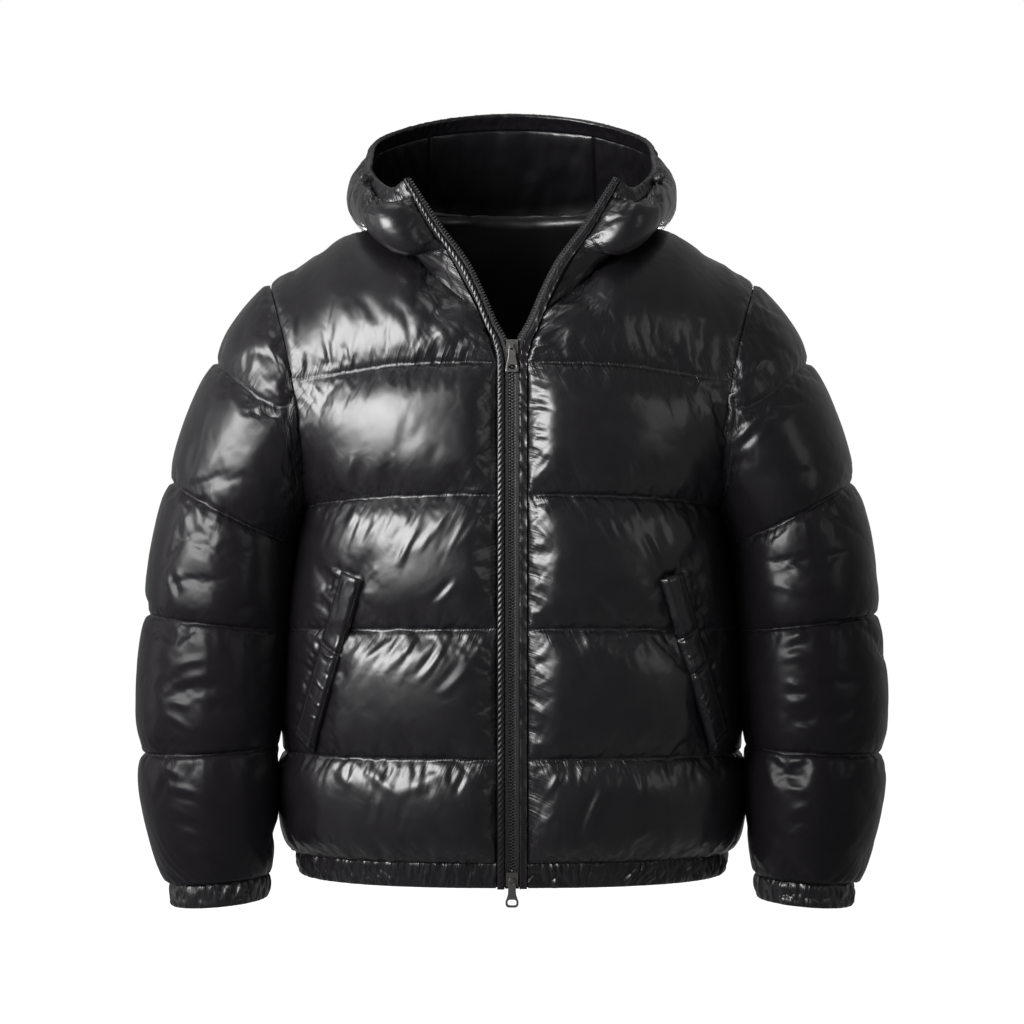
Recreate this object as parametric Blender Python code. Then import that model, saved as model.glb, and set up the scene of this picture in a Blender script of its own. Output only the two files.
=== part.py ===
"""Puffer jacket with a hood, zipped up and filled out as when worn.

Metres, +Z up. The front faces -Y and +X is the viewer's right. The origin is where the
wearer's neck and shoulders hold the jacket up: on the centre line, at the height of the
top of the shoulders. Cloth is a padded wall: a smooth lining a wall's thickness inside the
shell surface, and an outer cloth that rises between the quilting seams.
"""

import math

import bmesh
import bpy
import numpy as np
from mathutils import Matrix, Vector
from mathutils.bvhtree import BVHTree

# Walls and seams
WALL = 0.0030          # cloth, a little padding and lining, at a quilting seam
GAP = 0.0003           # between two pieces at a seam
FOLDED_SEAM = 0.0008   # kept by the sleeve or hood where its seam folds sharply
STRIP_RISE = 0.0015    # how far the front edge strips stand proud of the tape
STRIP_CLEAR = 0.0010   # between a strip and the panel's edge

# Quilting: how far the padding lifts the outer cloth in the middle of a baffle
BAFFLE_STEPS = (0.0, 0.12, 0.5, 0.88, 1.0)
PUFF_POWER = 2.4
PUFF_ROUND = 0.55
BODY_PUFF = 0.0130
SLEEVE_PUFF = 0.0120
SIDE_SQUASH = 0.80     # of the body's padding, where the sleeves lie against it
ARM_SQUASH = 0.90      # of a sleeve's padding, where it lies against the body
OUTSIDE_SQUASH = 0.50  # and where it is stretched round the sleeve's outer side
LAST_SLEEVE_PUFF = 0.0170
HOOD_PUFF = 0.0150
WEDGE_PUFF = 0.12      # shares of the hood's puff, in the wedge at the neckline
CENTER_PUFF = 0.85     # and on the centre panel
# Where the hood lies on the shoulders: distances from the neck's middle, then heights
UNDER_HOOD = 0.75      # the share of the padding that it presses flat
UNDER_HOOD_REACH = (0.120, 0.175)
UNDER_HOOD_HEIGHT = (-0.060, -0.020)
# Where the arms lie against the sides: distances from the middle, then heights
BESIDE_ARM_REACH = (0.165, 0.215)
BESIDE_ARM_HEIGHT = (-0.560, -0.520)
EDGE_ROLL = 0.030      # a baffle reaches its full height this far from an edge seam
LOOSER = 0.75          # share of the squash that the last baffle of a sleeve keeps
SHORT_BAFFLE = 0.080   # a sleeve's baffle shorter than this is less puffy
SEAM_ANGLE = 35.0      # degrees: sharper edges are shaded as a seam or a fold

# Armhole: an ellipse-like loop seen from the side, bowed towards the body front and back
ARMHOLE_TOP = (0.2530, -0.0500)        # x, z
ARMHOLE_BOTTOM = (0.2160, -0.2900)
ARMHOLE_FRONT = 0.113
ARMHOLE_BACK = 0.118
ARMHOLE_BOW = 0.014
ARMHOLE_FLARE = 0.15                   # how far its walls' direction leans off the plane
SEAM_ONE_TURN = 82.9                   # degrees round the armhole to the yoke's quilting seam

# Torso. Level 0 is the hem seam, 3 the underarm, 4 the yoke seam and 5 the top edge.
# level, height at the middle, height at the side, half width, depth behind
TORSO_LEVELS = (
    (-1, -0.6660, -0.6665, 0.2225, 0.146),
    (0, -0.6405, -0.6440, 0.2265, 0.150),
    (1, -0.5360, -0.5390, 0.2385, 0.158),
    (2, -0.4060, -0.4130, 0.2345, 0.162),
    (3, -0.2720, -0.2900, 0.2160, 0.158),
    (4, -0.1390, -0.1580, 0.2160, 0.148),
)
UNDERARM, YOKE, TOP = 3, 4, 5
YOKE_ON_ZIP = TORSO_LEVELS[-1][1]
SIDE_TURN = 90.0       # degrees by which a row has turned from the front at the side seam
YOKE_TURN = 36.0       # and where it meets the armhole at the yoke seam
FULLNESS = 0.62        # of a row's curve, where 0.55 is an ellipse
YOKE_RISE = 0.10       # lean over the chest or the shoulder blades at the yoke seam
NECK_RISE_FRONT = (0.0, 0.35, 1.0)     # how the yoke reaches the neckline's ends
NECK_RISE_BACK = (0.0, -0.45, 0.90)
SHOULDER_RISE = 0.35   # and the shoulder seam, upwards for each unit along Y
SHOULDER_OUT = (0.40, 0.0, 0.92)       # wall direction along the shoulder seam

# Front edge, along the zip's centre. height, half opening, y, width to the panel's edge
FRONT_EDGE = (
    (-0.6665, 0.0000, -0.1500, 0.0160),
    (-0.6405, 0.0000, -0.1560, 0.0160),
    (-0.5360, 0.0000, -0.1660, 0.0160),
    (-0.4060, 0.0000, -0.1680, 0.0160),
    (-0.2720, 0.0000, -0.1650, 0.0160),
    (-0.1390, 0.0000, -0.1530, 0.0160),
    (-0.1160, 0.0050, -0.1490, 0.0155),
    (-0.0970, 0.0150, -0.1455, 0.0140),
    (-0.0670, 0.0280, -0.1400, 0.0130),
    (-0.0375, 0.0425, -0.1350, 0.0130),
    (0.0020, 0.0715, -0.1290, 0.0120),
    (0.0510, 0.1035, -0.1200, 0.0080),
)
NECK_ON_ZIP = -0.083   # heights on the zip where the hood's seams meet it
WEDGE_ON_ZIP = -0.0165
ROLL_ON_ZIP = (-0.003, 0.009, 0.021)
CHANNEL_ON_ZIP = 0.034
RIM_ON_ZIP = 0.051

# Neckline from the front edge (column 0) over the shoulder (5) to the middle of the back (11)
# column, x, y, z
NECKLINE = (
    (2, 0.0870, -0.1020, -0.0390),
    (3.6, 0.1080, -0.0480, 0.0020),
    (5, 0.1100, 0.0000, 0.0210),
    (7, 0.0880, 0.0580, 0.0280),
    (9, 0.0450, 0.0850, 0.0310),
    (11, 0.0000, 0.0920, 0.0320),
    (13, -0.0450, 0.0850, 0.0310),
)
NECK_COLUMNS = 5       # on the front's part of the neckline
BACK_NECK_COLUMNS = 6  # on half of the back's part
SHOULDER_BOW = 0.008
FRONT_STEPS = (0.0, 0.06, 0.14, 0.23, 0.32, 0.41, 0.55, 0.70, 0.85, 0.95, 1.0)
BACK_STEPS = (0.0, 0.07, 0.14, 0.21, 0.28, 0.35, 0.42, 0.56, 0.71, 0.86, 0.95, 1.0)

# Sleeve seams, outer and inner points in x and z, then half depths and the middle's y
# level, outer x, outer z, inner x, inner z, front depth, back depth, y
SLEEVE_LEVELS = (
    (2, 0.3540, -0.2580, 0.2310, -0.3240, 0.100, 0.098, -0.010),
    (3, 0.3765, -0.3950, 0.2365, -0.4120, 0.088, 0.086, -0.030),
    (4, 0.3800, -0.5380, 0.2440, -0.5310, 0.081, 0.079, -0.043),
    (5, 0.3530, -0.6705, 0.2525, -0.6630, 0.060, 0.058, -0.053),
)
CAP_REACH = (0.056, -0.083)            # from the armhole's top to the first sleeve seam
CAP_NARROW = 0.14                      # the share of it left below the arm
CAP_POWER = 0.75                       # how soon it narrows round the armhole
CAP_FORWARD = 0.003
INNER_POWER = 1.2                      # how far round a sleeve the body squashes it
SLEEVE_CLEAR = (0.0009, 0.0, -0.0004)  # from the armhole's edge to the sleeve's
CUFF_DROP = 0.0235
CUFF_TAPER = 0.965
CUFF_WALL = 0.0050
CUFF_ALONG = (0.0, -0.10, -1.0)

# Hood, thrown back. Each seam from the front edge (column 0) to the middle of the back (11):
# column, x, y, z
HOOD_WEDGE = (
    (2, 0.1020, -0.1140, -0.0230),
    (3.6, 0.1270, -0.0620, 0.0160),
    (5.3, 0.1300, 0.0180, 0.0340),
    (7.3, 0.1080, 0.0880, 0.0340),
    (9, 0.0600, 0.1330, 0.0080),
    (11, 0.0000, 0.1500, -0.0020),
)
HOOD_LOW = (
    (2, 0.1160, -0.1270, -0.0150),
    (3.6, 0.1450, -0.0720, 0.0140),
    (5.3, 0.1530, 0.0200, 0.0230),
    (7.3, 0.1340, 0.1200, 0.0080),
    (9, 0.0780, 0.1780, -0.0700),
    (11, 0.0000, 0.1970, -0.1080),
)
HOOD_OUT = (
    (2, 0.1250, -0.1300, 0.0000),
    (3.6, 0.1520, -0.0730, 0.0240),
    (5.3, 0.1580, 0.0200, 0.0330),
    (7.3, 0.1520, 0.1350, 0.0350),
    (9, 0.0920, 0.2220, -0.0100),
    (11, 0.0000, 0.2500, -0.0400),
)
HOOD_HIGH = (
    (2, 0.1280, -0.1250, 0.0150),
    (3.6, 0.1530, -0.0620, 0.0400),
    (5.3, 0.1570, 0.0200, 0.0520),
    (7.3, 0.1560, 0.1260, 0.0700),
    (9, 0.0960, 0.2080, 0.0620),
    (11, 0.0000, 0.2350, 0.0550),
)
HOOD_CHANNEL = (
    (2, 0.1300, -0.1120, 0.0270),
    (3.6, 0.1500, -0.0500, 0.0510),
    (5.3, 0.1550, 0.0180, 0.0700),
    (7.3, 0.1480, 0.1050, 0.1040),
    (9, 0.0920, 0.1620, 0.1300),
    (11, 0.0000, 0.1830, 0.1400),
)
HOOD_RIM = (
    (2, 0.1250, -0.1030, 0.0420),
    (3.6, 0.1470, -0.0450, 0.0640),
    (5.3, 0.1520, 0.0180, 0.0840),
    (7.3, 0.1430, 0.0960, 0.1190),
    (9, 0.0880, 0.1500, 0.1440),
    (11, 0.0000, 0.1700, 0.1550),
)
HOOD_SEAMS = (HOOD_WEDGE, HOOD_LOW, HOOD_OUT, HOOD_HIGH, HOOD_CHANNEL, HOOD_RIM)
GUSSET_COLUMN = 9      # where the hood's side meets its centre panel
HOOD_COLUMNS = 11

# Gathers: a radial wave along an elastic band
GATHER = 0.0014
GATHER_PARTS = 4       # columns of the band for each column of the panel above it
CUFF_PARTS = 2
BAND_WALL = 0.0055
BAND_CROWN = 0.35      # how far a band's middle swells, in wall thicknesses
GATHER_LOW = 0.4       # shares of the wave at a band's lower edge, upper edge and inside
GATHER_HIGH = 0.2
GATHER_INSIDE = 0.5
CHANNEL_WALL = 0.0045

# Pocket welts: height and distance from the zip of the middle of each end
WELT_TOP = (-0.3530, 0.1630)
WELT_BOTTOM = (-0.5260, 0.2000)
WELT_WIDTH = 0.0240
WELT_THICK = 0.0065
WELT_GAP = 0.0004
WELT_STEPS = 16
WELT_ACROSS = 5
WELT_EDGE = 0.55       # share of the thickness at a welt's long edges
IN_FRONT = -0.5        # y of a point clear in front of the jacket

# Zip
TEETH_HALF = 0.0030
TEETH_THICK = 0.0026
TAPE_START = 0.0033
TAPE_THICK = 0.0010
TAPE_SHARE = 0.45      # of the way from the teeth to the panel's edge
TAPE_LEAST = 0.0010    # its least width
ROPE_CROWN = 0.0025    # how far the rope-like edge swells over its sides
TEETH_LAP = -0.0004    # where an open row of teeth starts from the zip's line
ROW_APART = 0.0040     # least distance between two stations along the zip
SLIDER_WIDTH = 0.0120
SLIDER_TALL = 0.0140
PLATE = 0.0016
PLATE_GAP = 0.0010
POST_WIDTH = 0.0044
CHAIN_CLEAR = 0.0008   # between a slider and the chain's ends
ARCH_HALF = 0.0014     # half of the arch's hole
ARCH_WALL = 0.0010
ARCH_LEG = 0.0012
ARCH_WIDTH = 0.0030
PULL_THICK = 0.0016
BURIED = 0.0005        # how far a slider's pieces run into each other before they join
SLIDER_EDGE = 0.0003
TILT_SPAN = 0.006      # half the stretch of tape that gives a slider its tilt
METAL = (0.05, 0.05, 0.055, 1.0)
METAL_ROUGHNESS = 0.35
METALLIC = 0.9
# Pulls: half outlines from the crossbar down, x and z, then openings as x, z, x, z
BAR_HALF = 0.0007
UPPER_TAB = ((0.0034, BAR_HALF), (0.0036, -0.0100), (0.0058, -0.0205), (0.0050, -0.0222))
LOWER_RING = ((0.0034, BAR_HALF), (0.0036, -0.0140), (0.0058, -0.0205), (0.0058, -0.0245),
              (0.0046, -0.0262))
EYE = (-0.0022, -0.0040, 0.0022, -BAR_HALF)
UPPER_WINDOW = (-0.0042, -0.0200, 0.0042, -0.0150)
LOWER_WINDOW = (-0.0042, -0.0245, 0.0042, -0.0205)
UPPER_SLIDER_Z = -0.1236
LOWER_SLIDER_Z = -0.6560

# Cord lock at each corner of the rim
LOCK_COLUMN = 3.3
LOCK_SIZE = (0.010, 0.013, 0.010)
LOCK_SEAT = 0.0028     # from the rim's shell to the lock

SHELL = (0.012, 0.010, 0.012, 1.0)
ZIP_BLACK = (0.016, 0.016, 0.017, 1.0)


# ---------------------------------------------------------------- curves and grids


def curve_through(rows, at, monotone=True):
    """Reads a table of (station, values...) along a smooth curve at the stations `at`."""
    table = np.array(rows, float)
    stations, values = table[:, 0], table[:, 1:]
    at = np.clip(np.atleast_1d(np.asarray(at, float)), stations[0], stations[-1])
    spans = np.diff(stations)[:, None]
    rates = np.diff(values, axis=0) / spans
    slopes = np.gradient(values, stations, axis=0)
    if monotone:
        same = rates[1:] * rates[:-1] > 0
        total = np.where(same, rates[1:] + rates[:-1], 1.0)
        slopes[1:-1] = np.where(same, 2 * rates[1:] * rates[:-1] / total, 0.0)
    k = np.clip(np.searchsorted(stations, at, side="right") - 1, 0, len(spans) - 1)
    span = spans[k]
    t = ((at - stations[k]) / span[:, 0])[:, None]
    return (
        values[k] * (1 + 2 * t) * (1 - t) ** 2
        + slopes[k] * span * t * (1 - t) ** 2
        + values[k + 1] * t**2 * (3 - 2 * t)
        + slopes[k + 1] * span * t**2 * (t - 1)
    )


def hermite(start, end, leave, arrive, t):
    """Cubic from start to end with the given end tangents, at the places t."""
    return (
        start * (1 + 2 * t) * (1 - t) ** 2
        + leave * t * (1 - t) ** 2
        + end * t**2 * (3 - 2 * t)
        + arrive * t**2 * (t - 1)
    )


def bezier(a, b, c, d, t):
    return a * (1 - t) ** 3 + 3 * b * t * (1 - t) ** 2 + 3 * c * t**2 * (1 - t) + d * t**3


def rise(t):
    """The padding's height across a baffle, 0 at its seams and 1 in the middle."""
    return (1 - np.abs(2 * np.asarray(t) - 1) ** PUFF_POWER) ** PUFF_ROUND


def ease(value, low, high):
    """0 below low, 1 above high, smooth between."""
    t = np.clip((value - low) / (high - low), 0, 1)
    return t * t * (3 - 2 * t)


def unit(vectors):
    return vectors / np.linalg.norm(vectors, axis=-1, keepdims=True)


def levels_between(first, last):
    """Every row's level from one seam to another, with the baffle steps between seams."""
    steps = [seam + step for seam in range(first, last) for step in BAFFLE_STEPS[:-1]]
    return steps + [float(last)]


def grid_normals(grid, round_tube=False):
    """Normals of a grid of rows and columns, pointing to cross(along a row, up a column)."""
    if round_tube:
        along = np.roll(grid, -1, axis=1) - np.roll(grid, 1, axis=1)
    else:
        along = np.gradient(grid, axis=1)
    return unit(np.cross(along, np.gradient(grid, axis=0)))


def pulled_back(grid, top=True, bottom=True, left=True, right=True, by=GAP / 2):
    """Moves a grid's outermost points half a gap towards its inside."""
    grid = grid.copy()
    for wanted, edge, inside in ((bottom, 0, 1), (top, -1, -2)):
        if wanted:
            grid[edge] += unit(grid[inside] - grid[edge]) * by
    for wanted, edge, inside in ((left, 0, 1), (right, -1, -2)):
        if wanted:
            grid[:, edge] += unit(grid[:, inside] - grid[:, edge]) * by
    return grid


# ---------------------------------------------------------------- forms


def front_edge(height):
    """Zip centre line, its sideways direction on the panel and the panel edge's distance."""
    table = [(row[0],) + row for row in FRONT_EDGE]
    height = np.atleast_1d(np.asarray(height, float))
    spot = curve_through(table, height)
    step = 0.002
    ahead = curve_through(table, height + step)
    behind = curve_through(table, height - step)
    run = (ahead - behind)[:, :3]
    along = np.stack([run[:, 1], run[:, 2], run[:, 0]], axis=1)
    side = unit(np.stack([along[:, 2], 0 * along[:, 0], -along[:, 0]], axis=1))
    return spot[:, [1, 2, 0]], side, spot[:, 3]


def panel_edge(height):
    """Where a panel that is sewn to the zip at this height begins."""
    spot, side, width = front_edge(height)
    return spot + side * width[:, None]


def armhole(turn):
    """Armhole loop at `turn` degrees: 0 top, 90 front, 180 underarm, 270 back."""
    turn = np.radians(np.atleast_1d(np.asarray(turn, float)))
    top, bottom = np.array(ARMHOLE_TOP), np.array(ARMHOLE_BOTTOM)
    middle, half = (top + bottom) / 2, (top - bottom) / 2
    depth = np.where(np.sin(turn) > 0, ARMHOLE_FRONT, ARMHOLE_BACK)
    x = middle[0] + half[0] * np.cos(turn) - ARMHOLE_BOW * np.sin(turn) ** 2
    z = middle[1] + half[1] * np.cos(turn)
    return np.stack([x, -depth * np.sin(turn), z], axis=-1)


def armhole_out(turn):
    """Away from the armhole's middle, the way both walls face along the armhole seam."""
    turn = np.radians(np.atleast_1d(np.asarray(turn, float)))
    flare = ARMHOLE_FLARE * np.cos(turn)
    return unit(np.stack([flare, -np.sin(turn), np.cos(turn)], axis=-1))


def armhole_turn(level):
    """The armhole angle of a torso row between the underarm and the top."""
    if level <= YOKE:
        return 180 + (SEAM_ONE_TURN - 180) * (level - UNDERARM)
    return SEAM_ONE_TURN * (TOP - level)


def neckline(column):
    """Neckline point by column, from the front edge over the shoulder to the back."""
    start = (0.0,) + tuple(panel_edge(NECK_ON_ZIP)[0])
    return curve_through((start,) + NECKLINE, column, monotone=False)


def neck_out(points):
    """Level direction away from the neck, the way both walls face along the neckline."""
    flat = points * np.array([1.0, 1.0, 0.0]) + np.array([0.0, 0.01, 0.0])
    return unit(flat)


def torso_row(level, steps, back):
    """One row of the shell below the yoke seam, from the middle to the side or armhole."""
    middle_z, side_z, half_width, depth = curve_through(TORSO_LEVELS, level)[0]
    steps = np.array(steps)[:, None]
    if back:
        start = np.array([0.0, depth, middle_z])
    else:
        start = panel_edge(middle_z)[0]
    if level <= UNDERARM:
        end = np.array([half_width, 0.0, side_z])
        turn = SIDE_TURN
    else:
        end = armhole(armhole_turn(level) * (-1 if back else 1))[0]
        turn = SIDE_TURN + (YOKE_TURN - SIDE_TURN) * (level - UNDERARM)
    turn = math.radians(turn)
    reach = end - start
    leave = start + np.array([FULLNESS * reach[0], 0.0, 0.0])
    arrive = end - FULLNESS * np.array(
        [math.cos(turn) * reach[0], math.sin(turn) * reach[1], 0.0]
    )
    row = bezier(start, leave, arrive, end, steps)
    row[:, 2] = start[2] + (end[2] - start[2]) * steps[:, 0] ** 2
    return row


def top_row(steps, back):
    """Top edge of a front or of half the back: its part of the neckline, then the shoulder."""
    if back:
        columns, count = HOOD_COLUMNS - np.arange(BACK_NECK_COLUMNS + 1), BACK_NECK_COLUMNS
    else:
        columns, count = np.arange(NECK_COLUMNS + 1), NECK_COLUMNS
    neck = neckline(columns)
    share = (np.array(steps[count + 1:]) - steps[count]) / (1 - steps[count])
    tip = armhole(0)[0]
    shoulder = neck[-1] + (tip - neck[-1]) * share[:, None]
    shoulder[:, 2] += SHOULDER_BOW * 4 * share * (1 - share)
    return np.concatenate([neck, shoulder]), count


def yoke_rows(levels, steps, back):
    """Rows from the yoke seam up over the chest or the shoulder blades to the top edge."""
    low = torso_row(YOKE, steps, back)
    high, count = top_row(steps, back)
    reach = np.linalg.norm(high - low, axis=1)[:, None]
    over = np.clip(np.array(steps) / steps[count], 0, 1)[:, None]
    toward = -1.0 if back else 1.0
    leave = unit(np.array([0.0, YOKE_RISE * toward, 1.0])) * reach
    at_zip = np.array(NECK_RISE_BACK if back else NECK_RISE_FRONT)
    at_shoulder = np.array([0.0, toward, SHOULDER_RISE])
    arrive = unit(at_zip + (at_shoulder - at_zip) * over) * reach
    rows = []
    for level in levels:
        t = level - YOKE
        row = hermite(low, high, leave, arrive, t)
        turn = armhole_turn(level) * (-1 if back else 1)
        row += (armhole(turn)[0] - row[-1]) * np.array(steps)[:, None] ** 4
        if not back:
            zip_height = YOKE_ON_ZIP + (NECK_ON_ZIP - YOKE_ON_ZIP) * t
            row += (panel_edge(zip_height)[0] - row[0]) * (1 - np.array(steps)[:, None]) ** 6
        rows.append(row)
    return rows


def torso_grid(levels, steps, back):
    below = [torso_row(level, steps, back) for level in levels if level <= YOKE]
    above = yoke_rows([level for level in levels if level > YOKE], steps, back)
    return np.array(below + above)


def torso_puff(levels, grid, steps, back):
    """How far the outer cloth stands out over a torso grid."""
    amount = np.zeros(grid.shape[:2])
    widths = np.linalg.norm(np.diff(grid, axis=1), axis=2)
    from_start = np.concatenate([np.zeros((len(grid), 1)), np.cumsum(widths, axis=1)], axis=1)
    from_end = from_start[:, -1:] - from_start
    near = from_end if back else np.minimum(from_start, from_end)
    roll = np.sqrt(1 - (1 - np.clip(near / EDGE_ROLL, 0, 1)) ** 2)
    neck = np.hypot(grid[..., 0], grid[..., 1])
    pressed = (1 - ease(neck, *UNDER_HOOD_REACH)) * ease(grid[..., 2], *UNDER_HOOD_HEIGHT)
    under_hood = 1 - UNDER_HOOD * pressed
    beside = ease(grid[..., 0], *BESIDE_ARM_REACH) * ease(grid[..., 2], *BESIDE_ARM_HEIGHT)
    squash = 1 - SIDE_SQUASH * beside
    for row, level in enumerate(levels):
        height = BODY_PUFF * rise(level - math.floor(level))
        amount[row] = height * roll[row] * under_hood[row] * squash[row]
    return amount


def sleeve_ring(level, turns):
    """One ring of the sleeve's shell at a level, 0 at the armhole and 5 at the cuff."""
    turns = np.asarray(turns, float)
    angle = np.radians(turns)
    hole = armhole(turns)
    share = CAP_NARROW + (1 - CAP_NARROW) * np.clip(np.cos(angle), 0, 1) ** CAP_POWER
    reach = np.array([CAP_REACH[0], 0.0, CAP_REACH[1]])
    first = hole + share[:, None] * reach
    first[:, 1] -= CAP_FORWARD * np.sin(angle)
    seams = [hole + np.array(SLEEVE_CLEAR), first]
    for _, ox, oz, ix, iz, front, behind, y in SLEEVE_LEVELS:
        depth = np.where(np.sin(angle) > 0, front, behind)
        cosine = np.cos(angle)
        x = (ox + ix) / 2 + (ox - ix) / 2 * cosine
        z = (oz + iz) / 2 + (oz - iz) / 2 * cosine
        seams.append(np.stack([x, y - depth * np.sin(angle), z], axis=-1))
    table = np.array(seams)
    flat = [(k,) + tuple(ring.ravel()) for k, ring in enumerate(table)]
    return curve_through(flat, level, monotone=False)[0].reshape(-1, 3)


def sleeve_grid(levels, turns):
    return np.array([sleeve_ring(level, turns) for level in levels])


def sleeve_puff(levels, turns, grid):
    """How far the outer cloth stands out over a sleeve grid, less where it meets the body."""
    cosine = np.cos(np.radians(np.asarray(turns, float)))
    inner = np.clip(-cosine, 0, 1) ** INNER_POWER
    outer = np.clip(cosine, 0, 1)
    seams = sleeve_grid(range(6), turns)
    spans = np.linalg.norm(np.diff(seams, axis=0), axis=2)
    amount = np.zeros(grid.shape[:2])
    for row, level in enumerate(levels):
        baffle = min(int(level), 4)
        height, looser = (LAST_SLEEVE_PUFF, LOOSER) if baffle == 4 else (SLEEVE_PUFF, 1.0)
        narrow = np.clip(spans[baffle] / SHORT_BAFFLE, 0, 1)
        around = 1 - looser * (ARM_SQUASH * inner + OUTSIDE_SQUASH * outer)
        amount[row] = height * rise(level - math.floor(level)) * around * narrow
    return amount


def hood_section(column, zip_heights):
    """The hood's seam points at one column: the neckline, the five seams and the rim."""
    points = [neckline(column)[0]]
    for rows, height in zip(HOOD_SEAMS, zip_heights):
        start = (0.0,) + tuple(panel_edge(height)[0])
        last = rows[-2]
        beyond = (2 * rows[-1][0] - last[0], -last[1], last[2], last[3])
        points.append(curve_through((start,) + rows + (beyond,), column, monotone=False)[0])
    return np.array(points)


HOOD_ON_ZIP = (WEDGE_ON_ZIP,) + ROLL_ON_ZIP + (CHANNEL_ON_ZIP, RIM_ON_ZIP)


def hood_grid(levels, columns):
    """The hood's shell: level 0 the neckline, 1 to 4 the seams, 5 the channel seam."""
    sections = [hood_section(column, HOOD_ON_ZIP) for column in columns]
    grid = []
    for level in levels:
        row = []
        for section in sections:
            flat = [(k,) + tuple(point) for k, point in enumerate(section)]
            row.append(curve_through(flat, level, monotone=False)[0])
        grid.append(row)
    return np.array(grid)


# ---------------------------------------------------------------- objects


def material(name, colour, roughness, metallic=0.0):
    """A Principled material of one colour."""
    made = bpy.data.materials.new(name)
    made.use_nodes = True
    shader = made.node_tree.nodes["Principled BSDF"]
    shader.inputs["Base Color"].default_value = colour
    shader.inputs["Roughness"].default_value = roughness
    shader.inputs["Metallic"].default_value = metallic
    made.diffuse_color = colour
    return made


def add_object(name, points, faces, colour=SHELL, roughness=0.28, metallic=0.0):
    """Links a closed mesh whose faces are turned outwards."""
    mesh = bpy.data.meshes.new(name)
    mesh.from_pydata([tuple(point) for point in points], [], faces)
    shaped = bmesh.new()
    shaped.from_mesh(mesh)
    if shaped.calc_volume(signed=True) < 0:
        bmesh.ops.reverse_faces(shaped, faces=shaped.faces)
    shaped.to_mesh(mesh)
    shaped.free()
    mesh.shade_smooth()
    mesh.set_sharp_from_angle(angle=math.radians(SEAM_ANGLE))
    mesh.materials.append(material(name, colour, roughness, metallic))
    made = bpy.data.objects.new(name, mesh)
    bpy.context.scene.collection.objects.link(made)
    return made


def wall_object(name, outer, inner, kept_rows, round_tube=False):
    """A wall from a grid of outer points and one of inner points, which keeps fewer rows."""
    rows, columns = outer.shape[:2]
    points = np.concatenate([outer.reshape(-1, 3), inner[kept_rows].reshape(-1, 3)])

    def out_at(row, column):
        return row * columns + column % columns

    def in_at(place, column):
        return rows * columns + place * columns + column % columns

    faces = []
    across = range(columns if round_tube else columns - 1)
    for column in across:
        for row in range(rows - 1):
            faces.append([out_at(row, column), out_at(row, column + 1),
                          out_at(row + 1, column + 1), out_at(row + 1, column)])
        for place in range(len(kept_rows) - 1):
            faces.append([in_at(place, column), in_at(place + 1, column),
                          in_at(place + 1, column + 1), in_at(place, column + 1)])
        faces.append([out_at(0, column + 1), out_at(0, column),
                      in_at(0, column), in_at(0, column + 1)])
        last = len(kept_rows) - 1
        faces.append([out_at(rows - 1, column), out_at(rows - 1, column + 1),
                      in_at(last, column + 1), in_at(last, column)])
    if not round_tube:
        for place in range(len(kept_rows) - 1):
            low, high = kept_rows[place], kept_rows[place + 1]
            near = [out_at(row, 0) for row in range(low, high + 1)]
            faces.append(near + [in_at(place + 1, 0), in_at(place, 0)])
            far = [out_at(row, columns - 1) for row in range(high, low - 1, -1)]
            faces.append(far + [in_at(place, columns - 1), in_at(place + 1, columns - 1)])
    return add_object(name, points, faces)


def kept_in_lining(levels):
    """Rows that the plain lining keeps: the seams and each baffle's middle."""
    return [k for k, level in enumerate(levels) if level % 1 in (0.0, 0.5)]


def mirrored(grid, side):
    """The grid on the other side when side is -1."""
    return grid * np.array([side, 1.0, 1.0])


def torso_normals(grid, levels, back):
    """Wall directions over a torso grid, with the shared ones along sewn edges."""
    normals = grid_normals(grid)
    toward = 1.0 if back else -1.0
    flip = np.sign(np.sum(normals[2, 2] * np.array([0.0, toward, 0.0])))
    normals = normals * flip
    for row, level in enumerate(levels):
        if level < UNDERARM:
            normals[row, -1] = (1.0, 0.0, 0.0)
        else:
            turn = armhole_turn(level) * (-1 if back else 1)
            normals[row, -1] = armhole_out(turn)[0]
    count = BACK_NECK_COLUMNS if back else NECK_COLUMNS
    normals[-1, : count + 1] = neck_out(grid[-1, : count + 1])
    normals[-1, count + 1:] = unit(np.array(SHOULDER_OUT))
    return normals


def make_fronts():
    levels = levels_between(0, TOP)
    grid = torso_grid(levels, FRONT_STEPS, back=False)
    puff = torso_puff(levels, grid, FRONT_STEPS, back=False)
    normals = torso_normals(grid, levels, back=False)
    grid = pulled_back(grid)
    outer = grid + normals * puff[..., None]
    inner = grid - normals * WALL
    kept = kept_in_lining(levels)
    for name, side in (("front_left", -1), ("front_right", 1)):
        wall_object(name, mirrored(outer, side), mirrored(inner, side), kept)


def make_back():
    levels = levels_between(0, TOP)
    half = torso_grid(levels, BACK_STEPS, back=True)
    puff = torso_puff(levels, half, BACK_STEPS, back=True)
    normals = torso_normals(half, levels, back=True)
    normals[:, 0] = unit(normals[:, 0] * np.array([0.0, 1.0, 1.0]))
    half = pulled_back(half, left=False)
    outer = half + normals * puff[..., None]
    inner = half - normals * WALL
    both = [np.concatenate([mirrored(g, -1)[:, :0:-1], g], axis=1) for g in (outer, inner)]
    wall_object("back", both[0], both[1], kept_in_lining(levels))


def sleeve_turns():
    """The armhole angles at which the torso's rows end, all the way round."""
    front = [armhole_turn(level) for level in levels_between(UNDERARM, TOP)][::-1]
    return front + [360 - turn for turn in front[-2:0:-1]]


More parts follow.
